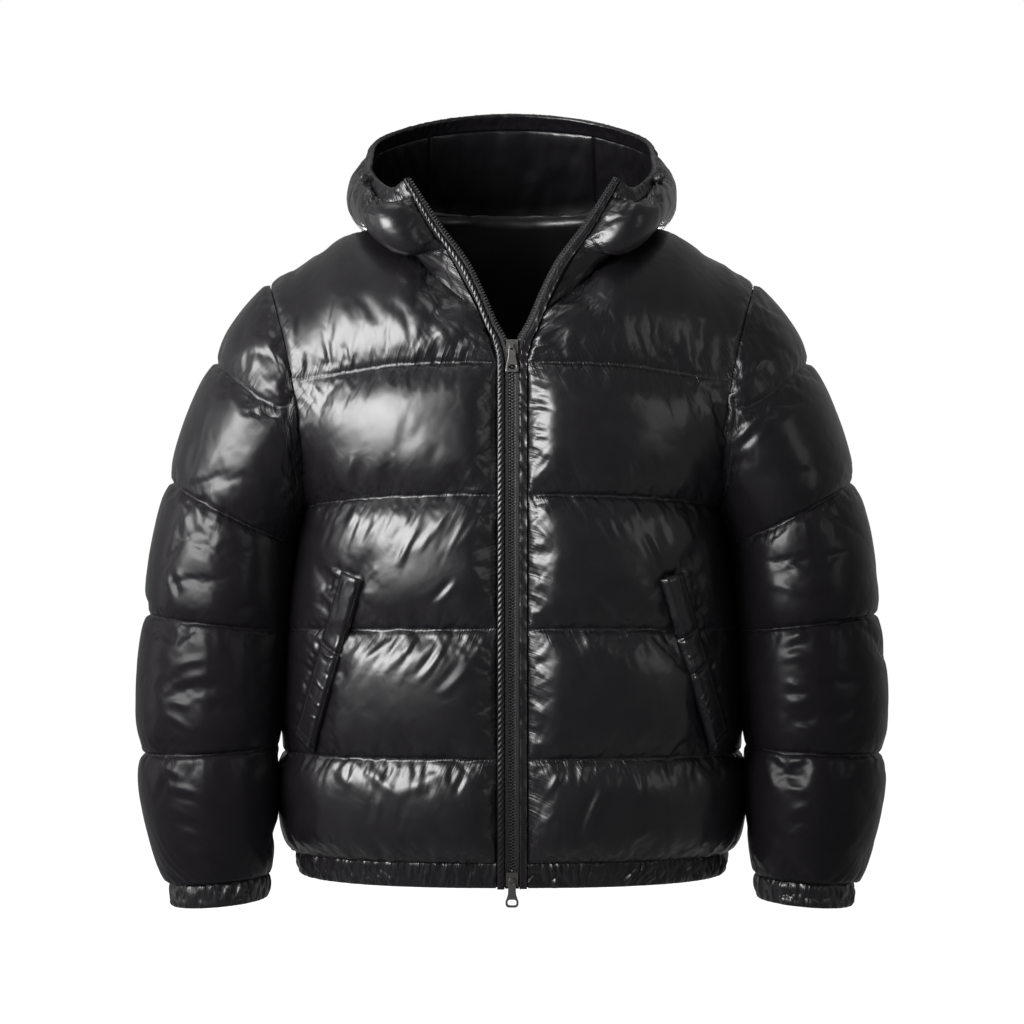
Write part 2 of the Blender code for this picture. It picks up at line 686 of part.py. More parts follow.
def make_sleeves():
    levels = levels_between(0, 5)
    turns = sleeve_turns()
    grid = sleeve_grid(levels, turns)
    puff = sleeve_puff(levels, turns, grid)
    normals = grid_normals(grid, round_tube=True)
    middle = grid.mean(axis=1, keepdims=True)
    outward = np.sum(normals * (grid - middle), axis=2).sum()
    normals *= np.sign(outward)
    normals[0] = armhole_out(turns)
    grid = pulled_back(grid, left=False, right=False)
    outer = grid + normals * puff[..., None]
    inner = grid - normals * WALL
    kept = kept_in_lining(levels)
    for name, side in (("sleeve_left", -1), ("sleeve_right", 1)):
        wall_object(name, mirrored(outer, side), mirrored(inner, side), kept, round_tube=True)


def split_columns(row, parts, round_tube=False):
    """Each stretch of a row cut into equal parts, on the straight line between its ends."""
    ends = np.concatenate([row, row[:1]]) if round_tube else row
    steps = np.arange(parts)[:, None] / parts
    pieces = [a + (b - a) * steps for a, b in zip(ends[:-1], ends[1:])]
    if not round_tube:
        pieces.append(ends[-1:])
    return np.concatenate(pieces)


def wave(count, size, round_tube):
    """Down and up by turns, and nothing at a band's two ends, if it has ends."""
    values = size * np.where(np.arange(count) % 2 == 0, -1.0, 1.0)
    if not round_tube:
        values[0] = values[-1] = 0.0
    return values


def band_object(name, top, bottom, out, wall, round_tube=False, both_ways=False):
    """A gathered elastic band between two rows of points: a rounded wall with a wave."""
    ripple = wave(len(top), GATHER, round_tube)[:, None]
    middle = (top + bottom) / 2
    outer = np.array([
        bottom + out * ripple * GATHER_LOW,
        middle + out * (wall * BAND_CROWN + ripple),
        top + out * ripple * GATHER_HIGH,
    ])
    inner = np.array([bottom - out * wall, middle - out * wall, top - out * wall])
    if both_ways:
        inner[1] += out * ripple * GATHER_INSIDE
    return wall_object(name, outer, inner, [0, 1, 2] if both_ways else [0, 2], round_tube)


def make_hem_band():
    """Elastic band below the hem seam, in two fronts and a back."""
    drop = np.array([0.0, 0.0, GAP])
    for back, steps in ((False, FRONT_STEPS), (True, BACK_STEPS)):
        rows = [torso_row(level, steps, back) for level in (-1, 0)]
        if back:
            rows = [np.concatenate([mirrored(row, -1)[:0:-1], row]) for row in rows]
        grid = pulled_back(np.array(rows), top=False, bottom=False)
        bottom, top = (split_columns(row, GATHER_PARTS) for row in grid)
        top = top - drop
        out = unit(np.gradient(top, axis=0)[:, [1, 0, 2]] * np.array([1.0, -1.0, 0.0]))
        if np.sum(out * top * np.array([1.0, 1.0, 0.0])) < 0:
            out = -out
        out[-1] = (1.0, 0.0, 0.0)
        if back:
            out[0] = (-1.0, 0.0, 0.0)
            band_object("hem_band_back", top, bottom, out, BAND_WALL)
            continue
        for name, side in (("hem_band_left", -1), ("hem_band_right", 1)):
            band_object(name, mirrored(top, side), mirrored(bottom, side),
                        mirrored(out, side), BAND_WALL)


def make_cuffs():
    """Gathered elastic cuffs, a band round each sleeve's end."""
    turns = sleeve_turns()
    ring = sleeve_ring(5, turns)
    top = split_columns(ring, CUFF_PARTS, round_tube=True)
    middle = top.mean(axis=0)
    along = unit(np.array(CUFF_ALONG))
    top = top + along * GAP * 2
    bottom = middle + (top - middle) * CUFF_TAPER + along * CUFF_DROP
    out = unit((top - middle) * np.array([1.0, 1.0, 0.0]))
    for name, side in (("cuff_left", -1), ("cuff_right", 1)):
        band_object(name, mirrored(top, side), mirrored(bottom, side), mirrored(out, side),
                    CUFF_WALL, round_tube=True)


def hood_walls():
    """Shell, wall directions and padding over the whole half hood, channel and rim too."""
    levels = levels_between(0, 5) + [5.5, 6.0]
    grid = hood_grid(levels, range(HOOD_COLUMNS + 1))
    normals = grid_normals(grid)
    toward = np.array([0.0, 1.0, 0.0])
    if np.sum(normals[-6, -1] * toward) < 0:
        normals = -normals
    normals[0] = neck_out(grid[0])
    normals[:, -1] = unit(normals[:, -1] * np.array([0.0, 1.0, 1.0]))
    return levels, grid, normals


def hood_puff(levels, grid, center):
    """The hood's padding: the sides have one wedge and one roll, the centre five baffles."""
    amount = np.zeros(grid.shape[:2])
    widths = np.linalg.norm(np.diff(grid, axis=1), axis=2)
    along = np.concatenate([np.zeros((len(grid), 1)), np.cumsum(widths, axis=1)], axis=1)
    near = along if center else np.minimum(along, along[:, -1:] - along)
    roll = np.sqrt(1 - (1 - np.clip(near / EDGE_ROLL, 0, 1)) ** 2)
    for row, level in enumerate(levels):
        if level <= 1:
            height = WEDGE_PUFF * rise(level)
        elif center:
            height = CENTER_PUFF * rise(level - math.floor(level))
        else:
            height = float(rise((min(level, 5.0) - 1) / 4))
        amount[row] = HOOD_PUFF * height * roll[row]
    return amount


def make_hood():
    levels, grid, normals = hood_walls()
    rows = [k for k, level in enumerate(levels) if level <= 5]
    panel_levels = [levels[k] for k in rows]
    side_grid = grid[rows][:, : GUSSET_COLUMN + 1]
    side_normals = normals[rows][:, : GUSSET_COLUMN + 1]
    puff = hood_puff(panel_levels, side_grid, center=False)
    side_grid = pulled_back(side_grid, by=FOLDED_SEAM)
    outer = side_grid + side_normals * puff[..., None]
    inner = side_grid - side_normals * WALL
    kept = kept_in_lining(panel_levels)
    for name, side in (("hood_left", -1), ("hood_right", 1)):
        wall_object(name, mirrored(outer, side), mirrored(inner, side), kept)

    half = grid[rows][:, GUSSET_COLUMN:]
    half_normals = normals[rows][:, GUSSET_COLUMN:]
    puff = hood_puff(panel_levels, half, center=True)
    half = pulled_back(half, right=False, by=FOLDED_SEAM)
    outer = half + half_normals * puff[..., None]
    inner = half - half_normals * WALL
    both = [np.concatenate([g, mirrored(g, -1)[:, -2::-1]], axis=1) for g in (outer, inner)]
    wall_object("hood_center", both[0], both[1], kept)
    make_channel(grid, normals, levels)


def make_channel(grid, normals, levels):
    """The gathered casing of the hood's rim, from one zip top round the back to the other."""
    low, high = grid[levels.index(5.0)], grid[levels.index(6.0)]
    out = normals[levels.index(5.0)]
    rows = []
    for row in (low, high, out):
        row = np.concatenate([row, mirrored(row, -1)[-2::-1]])
        rows.append(split_columns(row, GATHER_PARTS))
    low, high, out = rows
    low = low + unit(high - low) * GAP
    for edge, inside in ((0, 1), (-1, -2)):
        low[edge] += unit(low[inside] - low[edge]) * GAP
        high[edge] += unit(high[inside] - high[edge]) * GAP
    band_object("hood_channel", high, low, unit(out), CHANNEL_WALL, both_ways=True)


def strip_object(name, heights, near, far, back, front, side, colour, roughness=0.45,
                 crown=0.0):
    """A strip along the front edge: near and far are shares or distances from the zip."""
    spot, sideways, width = front_edge(heights)
    run = unit(np.gradient(spot, axis=0))
    facing = unit(np.cross(run, sideways))
    if facing[0][1] > 0:
        facing = -facing
    start, end = near(width)[:, None], far(width)[:, None]
    corners = [
        spot + sideways * start + facing * back,
        spot + sideways * start + facing * front,
        spot + sideways * (start + end) / 2 + facing * (front + crown),
        spot + sideways * end + facing * front,
        spot + sideways * end + facing * back,
    ]
    if not crown:
        corners.pop(2)
    ring = mirrored(np.array(corners), side)
    return tube_object(name, ring, colour, roughness)


def tube_object(name, ring, colour, roughness):
    """A closed prism whose section runs along a path: ring[corner][station]."""
    corners, stations = ring.shape[:2]
    points = ring.reshape(-1, 3)
    faces = [[k * stations + s, ((k + 1) % corners) * stations + s,
              ((k + 1) % corners) * stations + s + 1, k * stations + s + 1]
             for k in range(corners) for s in range(stations - 1)]
    faces.append([k * stations for k in range(corners)][::-1])
    faces.append([k * stations + stations - 1 for k in range(corners)])
    return add_object(name, points, faces, colour, roughness)


def edge_heights():
    """Heights on the zip of every row that is sewn to it, from the hem to the rim."""
    torso = [float(curve_through(TORSO_LEVELS, level)[0][0]) for level in levels_between(0, 4)]
    yoke = [YOKE_ON_ZIP + (NECK_ON_ZIP - YOKE_ON_ZIP) * step for step in BAFFLE_STEPS[1:]]
    bottom = TORSO_LEVELS[0][1]
    wedge = [NECK_ON_ZIP + (WEDGE_ON_ZIP - NECK_ON_ZIP) * step for step in BAFFLE_STEPS[1:]]
    above = list(ROLL_ON_ZIP) + [CHANNEL_ON_ZIP, RIM_ON_ZIP]
    return [bottom] + torso + yoke + wedge + above


def make_front_closure():
    """Tapes, edge strips, closed chain and the two open rows of teeth."""
    heights = edge_heights()

    def tape_edge(width):
        return np.maximum(TAPE_SHARE * width, TAPE_START + TAPE_LEAST)

    def strip_edge(width):
        return tape_edge(width) + GAP

    def panel_side(width):
        return width - STRIP_CLEAR

    def level_with(distance):
        return lambda width: np.full_like(width, distance)

    for name, side in (("left", -1), ("right", 1)):
        strip_object(f"zip_tape_{name}", heights, level_with(TAPE_START), tape_edge,
                     -TAPE_THICK / 2, TAPE_THICK / 2, side, ZIP_BLACK, 0.7)
        crown = ROPE_CROWN if side < 0 else 0.0
        strip_object(f"front_edge_{name}", heights, strip_edge, panel_side,
                     -WALL, STRIP_RISE, side, SHELL, 0.35, crown)
        open_start = UPPER_SLIDER_Z + SLIDER_TALL / 2 + GAP
        above = [open_start] + [h for h in heights if h > open_start + ROW_APART]
        strip_object(f"zip_teeth_{name}", above, level_with(TEETH_LAP), level_with(TEETH_HALF),
                     -TEETH_THICK / 2, TEETH_THICK / 2, side, ZIP_BLACK, 0.4)
    low = LOWER_SLIDER_Z + SLIDER_TALL / 2 + CHAIN_CLEAR
    high = UPPER_SLIDER_Z - SLIDER_TALL / 2 - CHAIN_CLEAR
    inside = [h for h in heights if low + ROW_APART < h < high - ROW_APART]
    strip_object("zip_chain", [low] + inside + [high], level_with(-TEETH_HALF),
                 level_with(TEETH_HALF), -TEETH_THICK / 2, TEETH_THICK / 2, 1, ZIP_BLACK, 0.4)


def box_mesh(shaped, low, high):
    """Adds a box to a bmesh by its corners."""
    low, high = Vector(low), Vector(high)
    matrix = Matrix.Translation((low + high) / 2) @ Matrix.Diagonal((*(high - low), 1.0))
    bmesh.ops.create_cube(shaped, size=1.0, matrix=matrix)


def hidden_boxes(name, boxes, place):
    """A helper object made of boxes that the build leaves out."""
    shaped = bmesh.new()
    for low, high in boxes:
        box_mesh(shaped, low, high)
    mesh = bpy.data.meshes.new(name)
    shaped.to_mesh(mesh)
    shaped.free()
    made = bpy.data.objects.new(name, mesh)
    bpy.context.scene.collection.objects.link(made)
    made.matrix_world = place
    made.hide_render = True
    made.display_type = "WIRE"
    return made


def boolean(target, other, operation):
    change = target.modifiers.new(operation.title(), "BOOLEAN")
    change.operation = operation
    change.object = other
    change.solver = "EXACT"


def slider_place(height):
    """Where a slider sits: on the tape, tilted as the front is there."""
    spot, _, _ = front_edge(height)
    ends, _, _ = front_edge([height - TILT_SPAN, height + TILT_SPAN])
    tilt = math.atan2(ends[1][1] - ends[0][1], ends[1][2] - ends[0][2])
    centre = Vector((0.0, spot[0][1], spot[0][2]))
    return Matrix.Translation(centre) @ Matrix.Rotation(-tilt, 4, "X")


def make_slider(name, height):
    """Slider body: a front plate with the pull's arch, a post and a back plate."""
    place = slider_place(height)
    half, tall = SLIDER_WIDTH / 2, SLIDER_TALL / 2
    front = -PLATE_GAP - PLATE
    arch_front = front - 2 * ARCH_HALF - ARCH_WALL
    arch_tall = ARCH_HALF + ARCH_LEG
    shaped = bmesh.new()
    box_mesh(shaped, (-half, front, -tall), (half, -PLATE_GAP, tall))
    mesh = bpy.data.meshes.new(name)
    shaped.to_mesh(mesh)
    shaped.free()
    mesh.materials.append(material(name, METAL, METAL_ROUGHNESS, METALLIC))
    made = bpy.data.objects.new(name, mesh)
    bpy.context.scene.collection.objects.link(made)
    made.matrix_world = place
    post = POST_WIDTH / 2
    parts = (
        ("back", ((-half, PLATE_GAP, -tall), (half, PLATE_GAP + PLATE, tall))),
        ("post", ((-post, -PLATE_GAP - BURIED, -tall), (post, PLATE_GAP + BURIED, tall))),
        ("arch", ((-ARCH_WIDTH / 2, arch_front, -arch_tall),
                  (ARCH_WIDTH / 2, front + BURIED, arch_tall))),
    )
    for part, box in parts:
        boolean(made, hidden_boxes(f"{name}_{part}", [box], place), "UNION")
    hole = ((-ARCH_WIDTH, front - 2 * ARCH_HALF, -ARCH_HALF), (ARCH_WIDTH, front, ARCH_HALF))
    boolean(made, hidden_boxes(f"{name}_hole", [hole], place), "DIFFERENCE")
    edge = made.modifiers.new("Edges", "BEVEL")
    edge.width = SLIDER_EDGE
    edge.segments = 1
    return place @ Vector((0.0, front - ARCH_HALF, 0.0)), place


def make_pull(name, axis, turned, half_outline, windows):
    """A pull tab that hangs from its crossbar, which is its origin and its hinge axis."""
    outline = [(-x, z) for x, z in half_outline] + list(half_outline[::-1])
    count = len(outline)
    half = PULL_THICK / 2
    points = [(x, y, z) for y in (-half, half) for x, z in outline]
    faces = [list(range(count)), list(range(2 * count - 1, count - 1, -1))]
    faces += [[(k + 1) % count, k, k + count, (k + 1) % count + count]
              for k in range(count)]
    made = add_object(name, points, faces, METAL, METAL_ROUGHNESS, METALLIC)
    place = Matrix.Translation(axis) @ turned.to_3x3().to_4x4()
    made.matrix_world = place
    boxes = [((x0, -2 * half, z0), (x1, 2 * half, z1)) for x0, z0, x1, z1 in windows]
    boolean(made, hidden_boxes(f"{name}_window", boxes, place), "DIFFERENCE")
    return made


def make_sliders():
    """Both sliders with their pulls. The lower pull hangs straight down."""
    upper_axis, upper_place = make_slider("slider_upper", UPPER_SLIDER_Z)
    lower_axis, _ = make_slider("slider_lower", LOWER_SLIDER_Z)
    make_pull("pull_upper", upper_axis, upper_place, UPPER_TAB, (EYE, UPPER_WINDOW))
    make_pull("pull_lower", lower_axis, Matrix.Identity(4), LOWER_RING, (EYE, LOWER_WINDOW))


def tree_of(name):
    """A search tree over an object's faces."""
    graph = bpy.context.evaluated_depsgraph_get()
    return BVHTree.FromObject(bpy.data.objects[name], graph)


def depth_on(tree, x, z):
    """y of the first face met from the front at each x and z."""
    spots = zip(x.ravel(), z.ravel())
    depth = [tree.ray_cast((a, IN_FRONT, b), (0, 1, 0))[0].y for a, b in spots]
    return np.reshape(depth, x.shape)


def bridged(depth):
    """Each point's depth brought forward to that of its foremost neighbour."""
    rows, columns = depth.shape
    padded = np.pad(depth, 1, mode="edge")
    around = [padded[i:i + rows, j:j + columns] for i in range(3) for j in range(3)]
    return np.min(around, axis=0)


def make_pockets():
    """Slanted padded welts that lie on each front's outer cloth and bridge its seam."""
    across = np.linspace(-1.0, 1.0, WELT_ACROSS)
    share = np.linspace(0.0, 1.0, WELT_STEPS + 1)
    height = WELT_TOP[0] + (WELT_BOTTOM[0] - WELT_TOP[0]) * share
    middle = WELT_TOP[1] + (WELT_BOTTOM[1] - WELT_TOP[1]) * share
    z = np.repeat(height[:, None], WELT_ACROSS, axis=1)
    thick = WELT_THICK * (WELT_EDGE + (1 - WELT_EDGE) * (1 - across**4))
    for name, front, side in (("pocket_left", "front_left", -1),
                              ("pocket_right", "front_right", 1)):
        x = side * (middle[:, None] + across * WELT_WIDTH / 2)
        depth = bridged(depth_on(tree_of(front), x, z)) - WELT_GAP
        under = np.stack([x, depth, z], axis=2)
        over = np.stack([x, depth - thick, z], axis=2)
        wall_object(name, over, under, list(range(WELT_STEPS + 1)))


def make_cord_locks():
    """A small barrel lock at each corner of the rim, resting on the channel."""
    levels, grid, normals = hood_walls()
    row = levels.index(5.5)
    low = int(LOCK_COLUMN)
    part = LOCK_COLUMN - low
    spot = grid[row, low] * (1 - part) + grid[row, low + 1] * part
    out = unit(normals[row, low] * (1 - part) + normals[row, low + 1] * part)
    for name, side in (("cord_lock_left", -1), ("cord_lock_right", 1)):
        centre = Vector(mirrored(spot + out * (LOCK_SEAT + LOCK_SIZE[1] / 2), side))
        direction = Vector(mirrored(out, side))
        shaped = bmesh.new()
        bmesh.ops.create_icosphere(shaped, subdivisions=2, radius=0.5)
        mesh = bpy.data.meshes.new(name)
        bmesh.ops.scale(shaped, vec=LOCK_SIZE, verts=shaped.verts)
        shaped.to_mesh(mesh)
        shaped.free()
        mesh.shade_smooth()
        mesh.materials.append(material(name, ZIP_BLACK, 0.5))
        made = bpy.data.objects.new(name, mesh)
        bpy.context.scene.collection.objects.link(made)
        turn = direction.to_track_quat("Y", "Z").to_matrix().to_4x4()
        made.matrix_world = Matrix.Translation(centre) @ turn


def main():
    for old in list(bpy.data.objects):
        bpy.data.objects.remove(old, do_unlink=True)
    make_fronts()
    make_back()
    make_sleeves()
    make_hem_band()
    make_cuffs()
    make_hood()
    make_front_closure()
    make_sliders()
    bpy.context.view_layer.update()
    make_pockets()
    make_cord_locks()


main()
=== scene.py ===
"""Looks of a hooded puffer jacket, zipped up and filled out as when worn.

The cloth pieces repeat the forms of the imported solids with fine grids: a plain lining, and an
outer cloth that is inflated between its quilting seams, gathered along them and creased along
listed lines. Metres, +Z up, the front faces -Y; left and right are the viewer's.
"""

import math

import bmesh
import bpy
import numpy as np
from mathutils import Matrix, Vector
from mathutils.bvhtree import BVHTree


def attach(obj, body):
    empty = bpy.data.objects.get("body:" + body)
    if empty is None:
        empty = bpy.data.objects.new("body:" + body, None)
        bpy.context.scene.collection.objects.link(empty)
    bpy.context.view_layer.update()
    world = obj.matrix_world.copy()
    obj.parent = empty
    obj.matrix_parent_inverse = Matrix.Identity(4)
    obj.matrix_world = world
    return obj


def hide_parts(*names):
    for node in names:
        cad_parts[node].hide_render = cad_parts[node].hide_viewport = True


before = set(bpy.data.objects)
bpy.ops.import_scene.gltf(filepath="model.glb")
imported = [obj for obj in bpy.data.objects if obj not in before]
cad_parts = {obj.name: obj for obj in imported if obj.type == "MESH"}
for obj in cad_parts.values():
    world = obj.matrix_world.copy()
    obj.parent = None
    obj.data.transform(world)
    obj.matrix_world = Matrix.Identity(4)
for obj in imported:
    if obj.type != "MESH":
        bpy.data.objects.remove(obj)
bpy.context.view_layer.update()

# ---------------------------------------------------------------- sizes shared with the solids

WALL = 0.0030
GAP = 0.0003
STRIP_CLEAR = 0.0010

PUFF_POWER = 2.4
PUFF_ROUND = 0.55
BODY_PUFF = 0.0130
SLEEVE_PUFF = 0.0120
LAST_SLEEVE_PUFF = 0.0170
HOOD_PUFF = 0.0150
WEDGE_PUFF = 0.12
CENTER_PUFF = 0.85
SIDE_SQUASH = 0.80
ARM_SQUASH = 0.90
OUTSIDE_SQUASH = 0.50
LOOSER = 0.75
EDGE_ROLL = 0.030
SHORT_BAFFLE = 0.080
UNDER_HOOD = 0.75
UNDER_HOOD_REACH = (0.120, 0.175)
UNDER_HOOD_HEIGHT = (-0.060, -0.020)
BESIDE_ARM_REACH = (0.165, 0.215)
BESIDE_ARM_HEIGHT = (-0.560, -0.520)

ARMHOLE_TOP = (0.2530, -0.0500)
ARMHOLE_BOTTOM = (0.2160, -0.2900)
ARMHOLE_FRONT = 0.113
ARMHOLE_BACK = 0.118
ARMHOLE_BOW = 0.014
ARMHOLE_FLARE = 0.15
SEAM_ONE_TURN = 82.9

# level, height at the middle, height at the side, half width, depth behind
TORSO_LEVELS = (
    (-1, -0.6660, -0.6665, 0.2225, 0.146),
    (0, -0.6405, -0.6440, 0.2265, 0.150),
    (1, -0.5360, -0.5390, 0.2385, 0.158),
    (2, -0.4060, -0.4130, 0.2345, 0.162),
    (3, -0.2720, -0.2900, 0.2160, 0.158),
    (4, -0.1390, -0.1580, 0.2160, 0.148),
)
UNDERARM, YOKE, TOP = 3, 4, 5
YOKE_ON_ZIP = TORSO_LEVELS[-1][1]
SIDE_TURN = 90.0
YOKE_TURN = 36.0
FULLNESS = 0.62
YOKE_RISE = 0.10
NECK_RISE_FRONT = (0.0, 0.35, 1.0)
NECK_RISE_BACK = (0.0, -0.45, 0.90)
SHOULDER_RISE = 0.35
SHOULDER_OUT = (0.40, 0.0, 0.92)

# height, half opening, y, width to the panel's edge
FRONT_EDGE = (
    (-0.6665, 0.0000, -0.1500, 0.0160),
    (-0.6405, 0.0000, -0.1560, 0.0160),
    (-0.5360, 0.0000, -0.1660, 0.0160),
    (-0.4060, 0.0000, -0.1680, 0.0160),
    (-0.2720, 0.0000, -0.1650, 0.0160),
    (-0.1390, 0.0000, -0.1530, 0.0160),
    (-0.1160, 0.0050, -0.1490, 0.0155),
    (-0.0970, 0.0150, -0.1455, 0.0140),
    (-0.0670, 0.0280, -0.1400, 0.0130),
    (-0.0375, 0.0425, -0.1350, 0.0130),
    (0.0020, 0.0715, -0.1290, 0.0120),
    (0.0510, 0.1035, -0.1200, 0.0080),
)
NECK_ON_ZIP = -0.083
HOOD_ON_ZIP = (-0.0165, -0.003, 0.009, 0.021, 0.034, 0.051)

# column, x, y, z
NECKLINE = (
    (2, 0.0870, -0.1020, -0.0390),
    (3.6, 0.1080, -0.0480, 0.0020),
    (5, 0.1100, 0.0000, 0.0210),
    (7, 0.0880, 0.0580, 0.0280),
    (9, 0.0450, 0.0850, 0.0310),
    (11, 0.0000, 0.0920, 0.0320),
    (13, -0.0450, 0.0850, 0.0310),
)
NECK_COLUMNS = 5
BACK_NECK_COLUMNS = 6
SHOULDER_BOW = 0.008
FRONT_STEPS = (0.0, 0.06, 0.14, 0.23, 0.32, 0.41, 0.55, 0.70, 0.85, 0.95, 1.0)
BACK_STEPS = (0.0, 0.07, 0.14, 0.21, 0.28, 0.35, 0.42, 0.56, 0.71, 0.86, 0.95, 1.0)
NECK_STEP = {False: FRONT_STEPS[NECK_COLUMNS], True: BACK_STEPS[BACK_NECK_COLUMNS]}

# level, outer x, outer z, inner x, inner z, front depth, back depth, y
SLEEVE_LEVELS = (
    (2, 0.3540, -0.2580, 0.2310, -0.3240, 0.100, 0.098, -0.010),
    (3, 0.3765, -0.3950, 0.2365, -0.4120, 0.088, 0.086, -0.030),
    (4, 0.3800, -0.5380, 0.2440, -0.5310, 0.081, 0.079, -0.043),
    (5, 0.3530, -0.6705, 0.2525, -0.6630, 0.060, 0.058, -0.053),
)
CAP_REACH = (0.056, -0.083)
CAP_NARROW = 0.14
CAP_POWER = 0.75
CAP_FORWARD = 0.003
INNER_POWER = 1.2
SLEEVE_CLEAR = (0.0009, 0.0, -0.0004)
CUFF_DROP = 0.0235
CUFF_TAPER = 0.965
CUFF_WALL = 0.0050
CUFF_ALONG = (0.0, -0.10, -1.0)

# x, y and z in mm at each column, for the wedge, the three quilting seams, channel and rim
HOOD_STATIONS = (2, 3.6, 5.3, 7.3, 9, 11)
HOOD_SEAMS = (
    ((102, -114, -23), (127, -62, 16), (130, 18, 34), (108, 88, 34), (60, 133, 8), (0, 150, -2)),
    ((116, -127, -15), (145, -72, 14), (153, 20, 23), (134, 120, 8), (78, 178, -70), (0, 197, -108)),
    ((125, -130, 0), (152, -73, 24), (158, 20, 33), (152, 135, 35), (92, 222, -10), (0, 250, -40)),
    ((128, -125, 15), (153, -62, 40), (157, 20, 52), (156, 126, 70), (96, 208, 62), (0, 235, 55)),
    ((130, -112, 27), (150, -50, 51), (155, 18, 70), (148, 105, 104), (92, 162, 130), (0, 183, 140)),
    ((125, -103, 42), (147, -45, 64), (152, 18, 84), (143, 96, 119), (88, 150, 144), (0, 170, 155)),
)
HOOD_COLUMNS = 11


# ---------------------------------------------------------------- curves


def hermite(start, end, leave, arrive, t):
    return (
        start * (1 + 2 * t) * (1 - t) ** 2
        + leave * t * (1 - t) ** 2
        + end * t**2 * (3 - 2 * t)
        + arrive * t**2 * (t - 1)
    )


def curve_through(rows, at, monotone=True):
    """Reads a table of (station, values...) along a smooth curve at the stations `at`."""
    table = np.array(rows, float)
    stations, values = table[:, 0], table[:, 1:]
    at = np.clip(np.atleast_1d(np.asarray(at, float)), stations[0], stations[-1])
    spans = np.diff(stations)[:, None]
    rates = np.diff(values, axis=0) / spans
    slopes = np.gradient(values, stations, axis=0)
    if monotone:
        same = rates[1:] * rates[:-1] > 0
        total = np.where(same, rates[1:] + rates[:-1], 1.0)
        slopes[1:-1] = np.where(same, 2 * rates[1:] * rates[:-1] / total, 0.0)
    k = np.clip(np.searchsorted(stations, at, side="right") - 1, 0, len(spans) - 1)
    span = spans[k]
    t = ((at - stations[k]) / span[:, 0])[:, None]
    return hermite(values[k], values[k + 1], slopes[k] * span, slopes[k + 1] * span, t)


def bezier(a, b, c, d, t):
    return a * (1 - t) ** 3 + 3 * b * t * (1 - t) ** 2 + 3 * c * t**2 * (1 - t) + d * t**3


def ease(value, low, high):
    t = np.clip((value - low) / (high - low), 0, 1)
    return t * t * (3 - 2 * t)


def unit(vectors):
    return vectors / np.maximum(np.linalg.norm(vectors, axis=-1, keepdims=True), 1e-12)


def rise(t, power=PUFF_POWER):
    """The padding's height across a baffle, 0 at its seams and 1 in the middle."""
    return (1 - np.abs(2 * np.asarray(t) - 1) ** power) ** PUFF_ROUND


def grid_normals(grid, round_tube=False):
    if round_tube:
        along = np.roll(grid, -1, axis=1) - np.roll(grid, 1, axis=1)
    else:
        along = np.gradient(grid, axis=1)
    return unit(np.cross(along, np.gradient(grid, axis=0)))


# ---------------------------------------------------------------- forms


def front_edge(height):
    """Zip centre line, its sideways direction on the panel and the panel edge's distance."""
    table = [(row[0],) + row for row in FRONT_EDGE]
    height = np.atleast_1d(np.asarray(height, float))
    spot = curve_through(table, height)
    step = 0.002
    ahead = curve_through(table, height + step)
    behind = curve_through(table, height - step)
    run = (ahead - behind)[:, :3]
    along = np.stack([run[:, 1], run[:, 2], run[:, 0]], axis=1)
    side = unit(np.stack([along[:, 2], 0 * along[:, 0], -along[:, 0]], axis=1))
    return spot[:, [1, 2, 0]], side, spot[:, 3]


def panel_edge(height):
    spot, side, width = front_edge(height)
    return spot + side * width[:, None]


def armhole(turn):
    """Armhole loop at `turn` degrees: 0 top, 90 front, 180 underarm, 270 back."""
    turn = np.radians(np.atleast_1d(np.asarray(turn, float)))
    top, bottom = np.array(ARMHOLE_TOP), np.array(ARMHOLE_BOTTOM)
    middle, half = (top + bottom) / 2, (top - bottom) / 2
    depth = np.where(np.sin(turn) > 0, ARMHOLE_FRONT, ARMHOLE_BACK)
    x = middle[0] + half[0] * np.cos(turn) - ARMHOLE_BOW * np.sin(turn) ** 2
    z = middle[1] + half[1] * np.cos(turn)
    return np.stack([x, -depth * np.sin(turn), z], axis=-1)


def armhole_out(turn):
    turn = np.radians(np.atleast_1d(np.asarray(turn, float)))
    flare = ARMHOLE_FLARE * np.cos(turn)
    return unit(np.stack([flare, -np.sin(turn), np.cos(turn)], axis=-1))


def armhole_turn(level, back):
    """Where a level of the torso meets the armhole loop."""
    if level <= YOKE:
        turn = 180 + (SEAM_ONE_TURN - 180) * (level - UNDERARM)
    else:
        turn = SEAM_ONE_TURN * (TOP - level)
    return -turn if back else turn


def neckline(column):
    start = (0.0,) + tuple(panel_edge(NECK_ON_ZIP)[0])
    return curve_through((start,) + NECKLINE, column, monotone=False)


def neck_out(points):
    return unit(points * np.array([1.0, 1.0, 0.0]) + np.array([0.0, 0.01, 0.0]))


def torso_row(level, steps, back):
    """One row of the shell below the yoke seam, from the middle to the side or armhole."""
    middle_z, side_z, half_width, depth = curve_through(TORSO_LEVELS, level)[0]
    steps = np.asarray(steps)[:, None]
    start = np.array([0.0, depth, middle_z]) if back else panel_edge(middle_z)[0]
    if level <= UNDERARM:
        end = np.array([half_width, 0.0, side_z])
        turn = SIDE_TURN
    else:
        end = armhole(armhole_turn(level, back))[0]
        turn = SIDE_TURN + (YOKE_TURN - SIDE_TURN) * (level - UNDERARM)
    turn = math.radians(turn)
    reach = end - start
    leave = start + np.array([FULLNESS * reach[0], 0.0, 0.0])
    arrive = end - FULLNESS * np.array(
        [math.cos(turn) * reach[0], math.sin(turn) * reach[1], 0.0]
    )
    row = bezier(start, leave, arrive, end, steps)
    row[:, 2] = start[2] + (end[2] - start[2]) * steps[:, 0] ** 2
    return row


